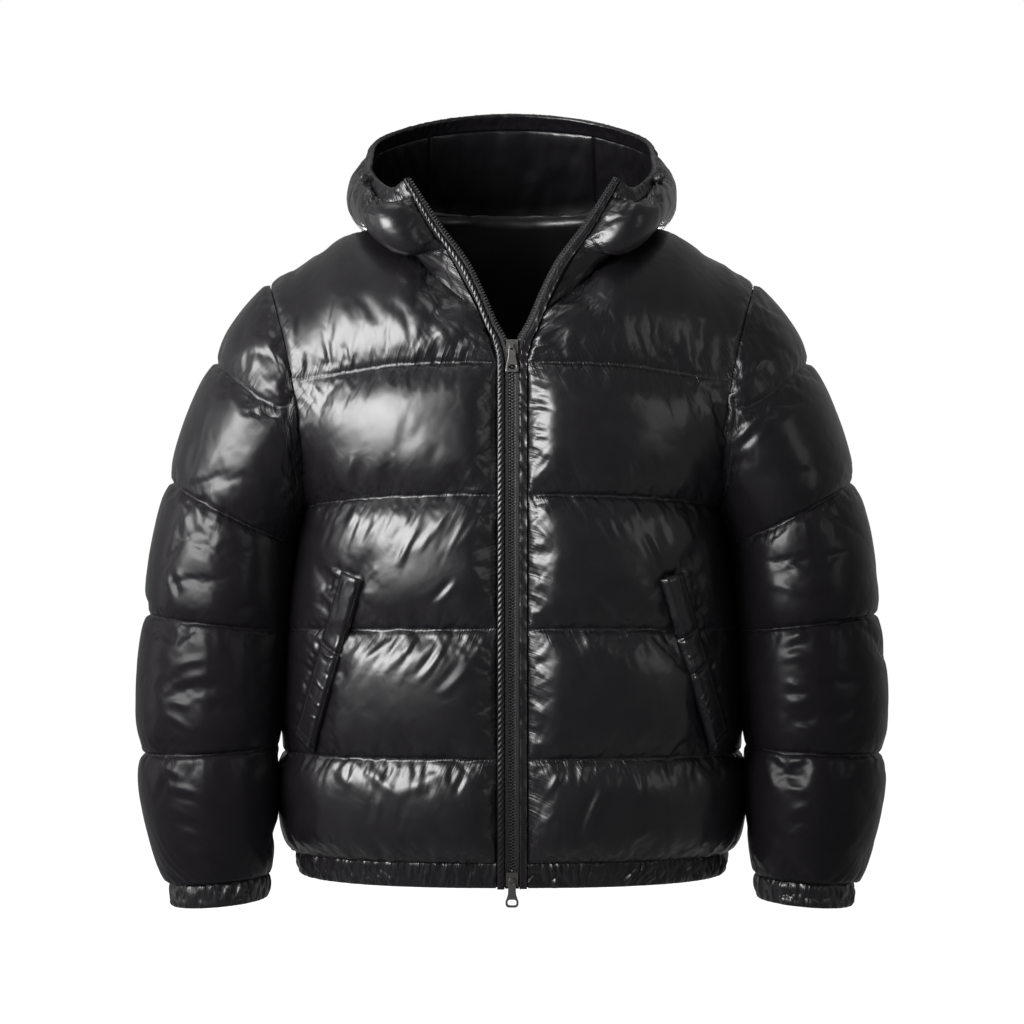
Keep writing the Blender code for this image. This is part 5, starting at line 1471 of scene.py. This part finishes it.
def welt_height(name, seed, down, out, flat, length):
    """How far the welt's cloth stands off its bed."""
    seams, folds = POCKETS[name]
    crown = 0.12 + 0.88 * (1 - np.abs(out) ** 2.3) ** 0.75
    ends = np.minimum(down, 1 - down) * length
    roll = 0.45 + 0.55 * np.sqrt(1 - (1 - np.clip(ends / WELT_ROLL, 0, 1)) ** 2)
    high = WELT_CROWN * crown * roll
    for seam in seams:
        gap = (down - seam) * length - 0.0008 * np.cos(math.pi * out)
        depth, half = WELT_SEAM
        high = high - depth * crown * np.exp(-((gap / half) ** 2))
        lip, beyond, half = WELT_LIPS
        high = high + lip * crown * np.exp(-(((np.abs(gap) - beyond) / half) ** 2))
        high = high + pucker(flat[..., 0] + 5, np.abs(gap), seed + 3, 0.0007, 0.006, 0.0045)
    strip = (down - WELT_STRIP) * length
    depth, half = STRIP_SEAM
    drop, fade = STRIP_DROP
    high = high - depth * np.exp(-((strip / half) ** 2)) - drop * ease(strip, 0, fade)
    beside = (1 - np.abs(out)) * WELT_WIDTH / 2
    high = high + pucker(down * length + 0.3 * (out > 0), beside, seed, 0.0006, 0.0045, 0.0052)
    high = high + 1.5 * drag(flat, folds, (0, 1))
    high = high + 0.00025 * wobble(flat[..., 0] / 0.006, flat[..., 1] / 0.013, seed + 1)
    return np.maximum(high, WELT_LEAST)


def make_pockets():
    length = WELT_TOP[0] - WELT_BOTTOM[0]
    down = np.linspace(0, 1, WELT_ROWS + 1)[:, None]
    out = np.linspace(-1, 1, WELT_COLUMNS + 1)[None]
    slant = WELT_SLANT[0] + (WELT_SLANT[1] - WELT_SLANT[0]) * down
    z = WELT_TOP[0] - length * down + slant * out
    share = (WELT_TOP[0] - z) / length
    x = WELT_TOP[1] + (WELT_BOTTOM[1] - WELT_TOP[1]) * share + out * WELT_WIDTH / 2
    beside = (1 - np.abs(out)) * WELT_WIDTH / 2
    uv = np.stack([down * length + 0 * out, 3.5 * beside + 0 * down], axis=2)
    for name, sign, seed in (("left", -1, 81), ("right", 1, 82)):
        bed = welt_bed(f"front_{name}", sign, share, out[0])
        flat = np.stack([sign * out * WELT_WIDTH / 2 + 0 * down, -down * length + 0 * out], axis=2)
        high = welt_height(name, seed, down, out, flat, length)
        outer = np.stack([sign * x, bed - high, z], axis=2)
        inner = np.stack([sign * x, bed + 0.6 * WELT_SUNK + 0 * x, z], axis=2)
        piece = wall_piece(f"pocket_{name}_cloth", outer, inner, False, uv, NYLON)
        stand_for(piece, f"pocket_{name}")
        lines = [outer[3:-8, column] for column in STITCHED_COLUMNS]
        lines += [outer[row, 1:-1] for row in STITCHED_ROWS]
        rows = [(line, np.array([0.0, -1.0, 0.0]) + 0 * line) for line in lines]
        stitches(f"stitches_pocket_{name}", rows, pitch=0.0027, length=0.0017)


# ---------------------------------------------------------------- bands

BAND_ROWS = 16
HEM_SPACING = 0.0013
BAND_SPACING = 0.0014
HEM_WALL = 0.0055
CHANNEL_WALL = 0.0045
CUFF_LEVEL = (5.0,)
CHANNEL_LEVEL = (6.0,)


def band_piece(name, low, high, out, wall, tube, seed, inside_too=False, gather=0.0036,
               wave=0.0058):
    """A gathered elastic band between two rows of points."""
    t = np.linspace(0, 1, BAND_ROWS + 1)[:, None]
    far = lengths_along(low, 0)[None]
    crown = wall * 0.35 * (4 * t * (1 - t)) ** 0.7
    slant = 1.1 * wobble(far / 0.03, t * 1.2, seed + 1)
    fold = wobble(far / wave + slant, t * 1.2, seed)
    fold = fold + 0.4 * wobble(far / wave * 2.3, t * 2, seed + 2)
    fold = 2 * np.abs(np.clip(fold, -1, 1)) ** 0.75 - 1
    hold = 0.30 + 0.70 * np.sin(np.pi * t) ** 0.6
    height = crown + gather * (0.6 + 0.4 * wobble(far / 0.03, 0.5, seed + 3)) * fold * hold
    outer = low[None] + (high - low)[None] * t[..., None] + out[None] * height[..., None]
    inner = low[None] + (high - low)[None] * t[..., None] - out[None] * wall
    if inside_too:
        inner = inner - out[None] * (0.5 * gather * fold * hold)[..., None]
    uv = np.stack([far + 0.004 * t, np.minimum(t, 1 - t) * 0.012 + 0 * far], axis=2)
    piece = wall_piece(name + "_cloth", outer, inner, tube, uv, NYLON,
                       HALF_TILE if inside_too else TILE)
    stand_for(piece, name)


def row_of(back, level, steps):
    row = torso_row(level, steps, back)
    return np.concatenate([row[:0:-1] * MIRROR, row]) if back else row


def make_hem():
    for back in (False, True):
        steps = even_steps(lambda s: torso_row(0.0, s, back), 0.0, 1.0, HEM_SPACING)
        low, high = row_of(back, -1, steps), row_of(back, 0, steps)
        high = high - np.array([0.0, 0.0, GAP])
        out = unit(np.gradient(high, axis=0)[:, [1, 0, 2]] * np.array([1.0, -1.0, 0.0]))
        if np.sum(out * high * LEVEL) < 0:
            out = -out
        out[-1] = (1.0, 0.0, 0.0)
        if back:
            out[0] = (-1.0, 0.0, 0.0)
            band_piece("hem_band_back", low, high, out, HEM_WALL, False, 61)
            continue
        for name, sign, seed in (("hem_band_left", -1, 62), ("hem_band_right", 1, 63)):
            flip = np.array([sign, 1.0, 1.0])
            band_piece(name, low * flip, high * flip, out * flip, HEM_WALL, False, seed)


def make_cuffs():
    level = np.array(CUFF_LEVEL)
    turns = even_steps(lambda a: sleeve_grid(level, a)[0], -180.0, 180.0, BAND_SPACING)[:-1]
    top = sleeve_grid(level, turns)[0]
    middle = top.mean(axis=0)
    along = unit(np.array(CUFF_ALONG))
    top = top + along * GAP * 2
    low = middle + (top - middle) * CUFF_TAPER + along * CUFF_DROP
    out = unit((top - middle) * LEVEL)
    for name, sign, seed in (("cuff_left", -1, 66), ("cuff_right", 1, 67)):
        flip = np.array([sign, 1.0, 1.0])
        band_piece(name, low * flip, top * flip, out * flip, CUFF_WALL, True, seed)


def make_channel():
    columns = even_steps(lambda c: hood_grid(np.array(CHANNEL_LEVEL), c)[0], 0.0, HOOD_COLUMNS,
                         BAND_SPACING)
    grid = hood_grid(np.array([4.9, 5.0, 6.0]), columns)
    wide = grid_normals(grid)[1]
    wide = wide * np.sign(wide[-1, 1])
    wide[-1] = unit(wide[-1] * ACROSS_MIDDLE)
    low, high, out = (np.concatenate([row, row[-2::-1] * MIRROR])
                      for row in (grid[1], grid[2], wide))
    low = low + unit(high - low) * GAP
    band_piece("hood_channel", low, high, out, CHANNEL_WALL, False, 71,
               inside_too=True, gather=0.0022, wave=0.0045)


# ---------------------------------------------------------------- front closure

TAPE_START = 0.0033
TAPE_THICK = 0.0010
TAPE_SHARE = 0.45
TAPE_LEAST = 0.0010
ROPE_CROWN = 0.0025
STRIP_RISE = 0.0015
UPPER_SLIDER_Z = -0.1236
LOWER_SLIDER_Z = -0.6560
SLIDER_TALL = 0.0140
CHAIN_CLEAR = 0.0008
TAPE_SECTION = (         # share across the tape and height in thicknesses, from the chain outwards
    (0, 0.5), (0.25, 0.6), (0.5, 0.55), (0.75, 0.6), (1, 0.5), (1, -0.5), (0.5, -0.5),
)
TAPE_BEHIND = 0.0018     # how far behind the zip's line the tape passes under the teeth
TAPE_BACK = 0.0006
ROPE_PITCH = 0.0060
ROPE_LEAN = 2.3          # how far the twist turns from one side of the rope to the other
FLANGE = (0.0012, 0.0040)    # how far the sewn-in flange reaches past the edge's sides
TOOTH_PITCH = 0.0031
TOOTH_SIZE = (0.0033, 0.0024, 0.0015)    # towards the tape, out and up the zip
TOOTH_OUT = 0.00125                      # how far a tooth's middle stands from the zip's line


def closure_frame(first, last, spacing):
    """Even stations along the zip: spots, ways sideways and to the front, widths, distances."""
    fine = np.linspace(first, last, 900)
    far = lengths_along(front_edge(fine)[0], 0)
    places = np.linspace(0, far[-1], round(far[-1] / spacing) + 1)
    spot, sideways, width = front_edge(np.interp(places, far, fine))
    run = unit(np.gradient(spot, axis=0))
    facing = unit(np.cross(run, sideways))
    facing *= -np.sign(facing[0, 1])
    return spot, sideways, facing, width, places


def swept(name, ring, finish_used, smooth_below=60.0):
    """A closed bar: ring[station, corner] are its section's points along its way."""
    stations, corners = ring.shape[:2]
    faces = quad_grid(stations, corners, True).reshape(-1, 4).tolist()
    faces.append(list(range(corners))[::-1])
    faces.append([(stations - 1) * corners + k for k in range(corners)])
    made = mesh_piece(name, ring.reshape(-1, 3), faces, finish_used, smooth_below)
    face_outward(made.data)
    return made


def tape_edge(width):
    return np.maximum(TAPE_SHARE * width, TAPE_START + TAPE_LEAST)


def tape_rows(spot, sideways, facing, edge):
    """The lines along a tape for the corners of its section; it parts at the sliders."""
    height = spot[:, 2]
    at_slider = np.minimum(abs(height - UPPER_SLIDER_Z), abs(height - LOWER_SLIDER_Z))
    under = np.where(at_slider > SLIDER_TALL / 2 - 0.0006, TAPE_START - 0.0002, 0.0)
    tucked = spot + sideways * (TAPE_START - under)[:, None] + -TAPE_BEHIND * facing
    rows = [tucked - TAPE_BACK * facing, tucked]
    for share, high in TAPE_SECTION:
        across = TAPE_START + (edge - TAPE_START) * share
        rows.append(spot + sideways * across[:, None] + facing * high * TAPE_THICK)
    return rows


def edge_corner(angle, rope, far, middle, half):
    """Sideways place and rise of one corner of a front edge's section, along the zip."""
    across, height = math.cos(angle), math.sin(angle)
    if rope:
        twist = np.abs(np.sin(math.pi * far / ROPE_PITCH + ROPE_LEAN * across)) ** 0.8
        swell = (STRIP_RISE + ROPE_CROWN) * (0.68 + 0.32 * twist)
        rise_by = np.where(height > 0, abs(height) ** 0.42 * swell, height * WALL)
        return middle + across * half * (0.9 + 0.1 * twist), rise_by
    flat_top = np.clip(abs(height) * 3, 0, 1) ** 0.5 * np.sign(height)
    full = STRIP_RISE + 0.0007 * (1 + wobble(far / 0.0045 + across, across, 91))
    rise_by = np.where(height > 0, flat_top * full, flat_top * WALL)
    return middle + np.sign(across) * abs(across) ** 0.6 * half, rise_by


def make_closure():
    """Tapes and front edges: a twisted rope on the left, a flat stitched band on the right."""
    bottom, top = FRONT_EDGE[0][0], FRONT_EDGE[-1][0]
    spot, sideways, facing, width, far = closure_frame(bottom + 0.0003, top, 0.0011)
    edge = tape_edge(width)
    start, end = edge + GAP, width - STRIP_CLEAR
    for name, sign in (("left", -1), ("right", 1)):
        flip = np.array([sign, 1.0, 1.0])
        section = np.stack(tape_rows(spot, sideways, facing, edge), axis=1) * flip
        tape = swept(f"zip_tape_{name}_cloth", section, TAPE_CLOTH)
        stand_for(tape, f"zip_tape_{name}")
        corners = 18 if sign < 0 else 14
        section = []
        for k in range(corners):
            side, rise_by = edge_corner(2 * math.pi * k / corners, sign < 0, far,
                                        (start + end) / 2, (end - start) / 2)
            section.append(spot + sideways * side[:, None] + facing * rise_by[:, None])
        lowest = 3 * corners // 4
        near, beyond = start - FLANGE[0], end + FLANGE[1]
        section[lowest:lowest] = [
            spot + sideways * side[:, None] - facing * (WALL + behind)
            for side, behind in ((near, 0.0002), (near, 0.0010), (beyond, 0.0010), (beyond, 0.0002))
        ]
        section = np.stack(section, axis=1) * flip
        piece = swept(f"front_edge_{name}_cloth", section, NYLON, 80.0)
        stand_for(piece, f"front_edge_{name}")
        rows = [(spot + sideways * (edge - 0.0012)[:, None], facing)]
        if sign > 0:
            rows += [(spot + sideways * across[:, None] + facing * (STRIP_RISE + 0.0002), facing)
                     for across in (start + 0.0010, end - 0.0008)]
        stitches(f"stitches_edge_{name}", [(line * flip, out * flip) for line, out in rows],
                 lift=0.0005)


def tooth_mesh():
    """One moulded tooth, x towards the tape, y out, z up the tape, about the zip's line."""
    shaped = bmesh.new()
    bmesh.ops.create_cube(shaped, size=1.0)
    bmesh.ops.bevel(shaped, geom=list(shaped.edges), offset=0.22, segments=1, affect="EDGES")
    points = np.array([v.co[:] for v in shaped.verts])
    faces = [[v.index for v in face.verts] for face in shaped.faces]
    shaped.free()
    return points, faces


def make_teeth():
    unit_points, faces = tooth_mesh()
    low = LOWER_SLIDER_Z + SLIDER_TALL / 2 + CHAIN_CLEAR
    high = UPPER_SLIDER_Z - SLIDER_TALL / 2 - CHAIN_CLEAR
    opened = UPPER_SLIDER_Z + SLIDER_TALL / 2 + GAP
    rows = {
        "zip_chain": (low, high, (-1, 1)),
        "zip_teeth_left": (opened, FRONT_EDGE[-1][0], (-1,)),
        "zip_teeth_right": (opened, FRONT_EDGE[-1][0], (1,)),
    }
    for name, (first, last, signs) in rows.items():
        spot, sideways, facing, _, far = closure_frame(first, last, 0.001)
        points, all_faces, count = [], [], 0
        for sign in signs:
            flip = np.array([sign, 1.0, 1.0])
            start = TOOTH_PITCH * (0.5 if sign < 0 else 1.0)
            spots = np.arange(start, far[-1] - TOOTH_PITCH * 0.3, TOOTH_PITCH)
            side, out = (unit(read_along(far, rows, spots)) for rows in (sideways, facing))
            centre = read_along(far, spot, spots) + side * TOOTH_OUT
            made, numbered = repeated(unit_points, faces, centre, (side, out, np.cross(out, side)),
                                      TOOTH_SIZE, count)
            points.append(made * flip)
            all_faces += numbered
            count += len(made)
        piece = mesh_piece(name + "_moulded", np.concatenate(points), all_faces, TEETH_PLASTIC,
                           30.0)
        face_outward(piece.data)
        stand_for(piece, name)


# ---------------------------------------------------------------- pulls

UPPER_TAB = ((0.0026, 0.0010), (0.0033, -0.0060), (0.0037, -0.0120), (0.0048, -0.0180),
             (0.0060, -0.0245), (0.0058, -0.0258), (0.0045, -0.0264))
UPPER_OPENINGS = (((-0.0019, -0.0044), (0.0019, -0.0008)), ((-0.0045, -0.0246), (0.0045, -0.0188)))
LOWER_RING = ((0.0026, 0.0010), (0.0034, -0.0050), (0.0036, -0.0130), (0.0048, -0.0180),
              (0.0061, -0.0215), (0.0061, -0.0240), (0.0052, -0.0260), (0.0034, -0.0270))
LOWER_OPENINGS = (((-0.0019, -0.0044), (0.0019, -0.0008)), ((-0.0049, -0.0256), (0.0049, -0.0192)))
PULL_HALF_THICK = 0.00035
PULL_ROUND = 0.00045
PULL_AXIS_DOWN = 0.0007  # how far the crossbar's axis lies under the solid's top
SLIDER_ROUND = 0.0005


def rounded_hole(low, high):
    """A closed outline of an opening with round corners."""
    radius = 0.45 * min(high[0] - low[0], high[1] - low[1])
    right, left, top, bottom = high[0] - radius, low[0] + radius, high[1] - radius, low[1] + radius
    points = []
    for quarter, (x, z) in enumerate(((right, top), (left, top), (left, bottom), (right, bottom))):
        for k in range(5):
            angle = math.pi / 2 * (quarter + k / 4)
            points.append((x + radius * math.cos(angle), z + radius * math.sin(angle)))
    return points


def pull_frame(node):
    """Place of a solid pull's crossbar, turned so that x is across, y through it and z up."""
    points = solid_points(node)
    middle = points.mean(axis=0)
    across = np.array([1.0, 0.0, 0.0])
    flat = points - middle
    flat[:, 0] = 0.0
    _, _, turns = np.linalg.svd(flat, full_matrices=False)
    up = turns[0] * np.sign(turns[0][2])
    through = np.cross(up, across)
    high = (points @ up).max() - PULL_AXIS_DOWN
    origin = middle + up * (high - middle @ up)
    origin[0] = (points[:, 0].max() + points[:, 0].min()) / 2
    turned_frame = np.eye(4)
    turned_frame[:3] = np.column_stack([across, through, up, origin])
    return Matrix(turned_frame.tolist())


def make_pulls():
    for node, body, outline, openings in (
        ("pull_upper", "upper_pull", UPPER_TAB, UPPER_OPENINGS),
        ("pull_lower", "lower_pull", LOWER_RING, LOWER_OPENINGS),
    ):
        curve = bpy.data.curves.new(node + "_cast", "CURVE")
        curve.dimensions = "2D"
        curve.fill_mode = "BOTH"
        curve.extrude = PULL_HALF_THICK
        curve.bevel_depth = PULL_ROUND
        curve.bevel_resolution = 2
        half = list(curve_through([(k,) + row for k, row in enumerate(outline)],
                                  np.linspace(0, len(outline) - 1, 25)))
        loops = [[(x, z) for x, z in half] + [(-x, z) for x, z in half[::-1]]]
        loops += [rounded_hole(*opening) for opening in openings]
        for loop in loops:
            spline = curve.splines.new("POLY")
            spline.points.add(len(loop) - 1)
            spline.points.foreach_set("co", [value for x, z in loop for value in (x, z, 0.0, 1.0)])
            spline.use_cyclic_u = True
        drawn = bpy.data.objects.new(node + "_outline", curve)
        bpy.context.scene.collection.objects.link(drawn)
        bpy.context.view_layer.update()
        mesh = bpy.data.meshes.new_from_object(drawn)
        bpy.data.objects.remove(drawn)
        standing = Matrix.Rotation(math.radians(90), 4, "X")
        mesh.transform(pull_frame(node) @ standing)
        mesh.materials.clear()
        mesh.name = node + "_cast"
        mesh.shade_smooth()
        mesh.set_sharp_from_angle(angle=math.radians(40))
        piece = link(node + "_cast", mesh, GUNMETAL)
        stand_for(piece, node, body)
    for node in ("slider_upper", "slider_lower"):
        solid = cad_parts[node]
        solid.material_slots[0].material = GUNMETAL
        edge = solid.modifiers.new("Rounded", "BEVEL")
        edge.width = SLIDER_ROUND
        edge.segments = 3
        edge.limit_method = "ANGLE"


# ---------------------------------------------------------------- cord locks

LOCK_BARREL = (          # half profile of a lock: station along its axis, radius
    (-0.0065, 0.0000), (-0.0065, 0.0012), (-0.0063, 0.0014), (-0.0052, 0.0014), (-0.0052, 0.0030),
    (-0.0050, 0.0036), (-0.0044, 0.0042), (-0.0034, 0.0046), (-0.0020, 0.0048), (-0.0011, 0.0048),
    (-0.0008, 0.0042), (-0.0002, 0.0042), (0.0001, 0.0048), (0.0014, 0.0048), (0.0024, 0.0046),
    (0.0030, 0.0040), (0.0032, 0.0030), (0.0034, 0.0029), (0.0056, 0.0028), (0.0062, 0.0025),
    (0.0065, 0.0018), (0.0065, 0.0000),
)
LOCK_AXIS = (0.842, 0.360, -0.401)
LOCK_AROUND = 28


def make_locks():
    """A moulded barrel with its groove, and the spring button at its end."""
    for node, sign in (("cord_lock_left", 1), ("cord_lock_right", -1)):
        middle = solid_points(node).mean(axis=0)
        along = unit(np.array([LOCK_AXIS[0], sign * LOCK_AXIS[1], sign * LOCK_AXIS[2]]))
        first = unit(np.cross(along, np.array([0.0, 0.0, 1.0])))
        second = np.cross(along, first)
        rings = []
        for station, radius in LOCK_BARREL[1:-1]:
            turns = 2 * math.pi * np.arange(LOCK_AROUND) / LOCK_AROUND
            around = np.cos(turns)[:, None] * first + np.sin(turns)[:, None] * second
            rings.append(middle + along * station + around * radius)
        piece = swept(node + "_moulded", np.stack(rings), LOCK_PLASTIC, 35.0)
        stand_for(piece, node)


# ---------------------------------------------------------------- camera, light and floor


CAMERA_PLACE = (0.0, -3.0, -0.289)
LENS = 100
SENSOR = 36
FLOOR_HEIGHT = -0.78
CHEST = (-0.10, -0.12, -0.22)
LAMPS = (                # name, place, aim, size, power
    ("key", (-0.92, -0.86, 0.12), CHEST, (0.84, 0.56), 22.5),
    ("halo", (-0.95, -0.89, 0.13), CHEST, (1.45, 1.00), 14.0),
    ("side", (-2.2, 0.3, 0.1), (0.0, 0.0, -0.3), (0.5, 1.6), 3.0),
    ("fill", (2.2, -1.6, 0.5), (0.1, 0.0, -0.35), (0.8, 1.4), 4.0),
    ("top", (-0.3, 0.1, 2.0), (0.0, 0.0, 0.0), (1.4, 1.0), 7.0),
    ("behind", (0.0, 2.8, 0.05), (0.0, 0.0, -0.25), (0.9, 0.9), 22.0),
)
SURROUND = (-0.9, 0.5, 0.06, 0.30)   # the sky's y in front and behind, and its light at each
SEEN_WHITE = 1.0


def make_stage():
    scene = bpy.context.scene
    scene.view_settings.view_transform = "Standard"
    camera = bpy.data.objects.new("camera", bpy.data.cameras.new("camera"))
    camera.data.lens = LENS
    camera.data.sensor_width = SENSOR
    camera.data.clip_end = 50
    camera.location = CAMERA_PLACE
    camera.rotation_euler = (math.radians(90), 0, 0)
    scene.collection.objects.link(camera)
    scene.camera = camera

    for name, place, aim, size, power in LAMPS:
        light = bpy.data.lights.new(name, "AREA")
        light.shape = "RECTANGLE"
        light.size, light.size_y = size
        light.energy = power
        made = bpy.data.objects.new(name, light)
        made.location = place
        made.visible_camera = False
        made.rotation_euler = (Vector(aim) - Vector(place)).to_track_quat("-Z", "Y").to_euler()
        scene.collection.objects.link(made)

    world = bpy.data.worlds.new("studio")
    world.use_nodes = True
    nodes = Nodes(world.node_tree)
    shader = world.node_tree.nodes["Background"]
    rays = nodes.add("ShaderNodeLightPath")
    where = nodes.add("ShaderNodeTexCoord")
    split = nodes.add("ShaderNodeSeparateXYZ")
    nodes.join(where.outputs["Generated"], split.inputs[0])
    ahead = nodes.ramp(split.outputs[1], *SURROUND)
    mix = nodes.add("ShaderNodeMix", data_type="FLOAT")
    nodes.join(rays.outputs["Is Camera Ray"], mix.inputs["Factor"])
    nodes.join(ahead, mix.inputs["A"])
    mix.inputs["B"].default_value = SEEN_WHITE
    nodes.join(mix.outputs["Result"], shader.inputs["Strength"])
    shader.inputs["Color"].default_value = (1.0, 1.0, 1.0, 1.0)
    scene.world = world

    bpy.ops.mesh.primitive_plane_add(size=40, location=(0, 0, FLOOR_HEIGHT))
    floor = bpy.context.object
    floor.name = "floor"
    pale = finish("pale_floor", (0.15, 0.15, 0.15), (0.16, 0.16, 0.16), (0.85, 0.95),
                  grain_bump, sockets=(("Emission Color", (1.0, 1.0, 1.0, 1.0)),
                                       ("Emission Strength", 0.985), ("Specular IOR Level", 0.0)),
                  spread=3.0)
    floor.data.materials.append(pale)
    floor.visible_glossy = False


# ---------------------------------------------------------------- all together

make_stage()
make_quilted()
make_hem()
make_cuffs()
make_channel()
make_closure()
make_teeth()
make_pockets()
make_pulls()
make_locks()
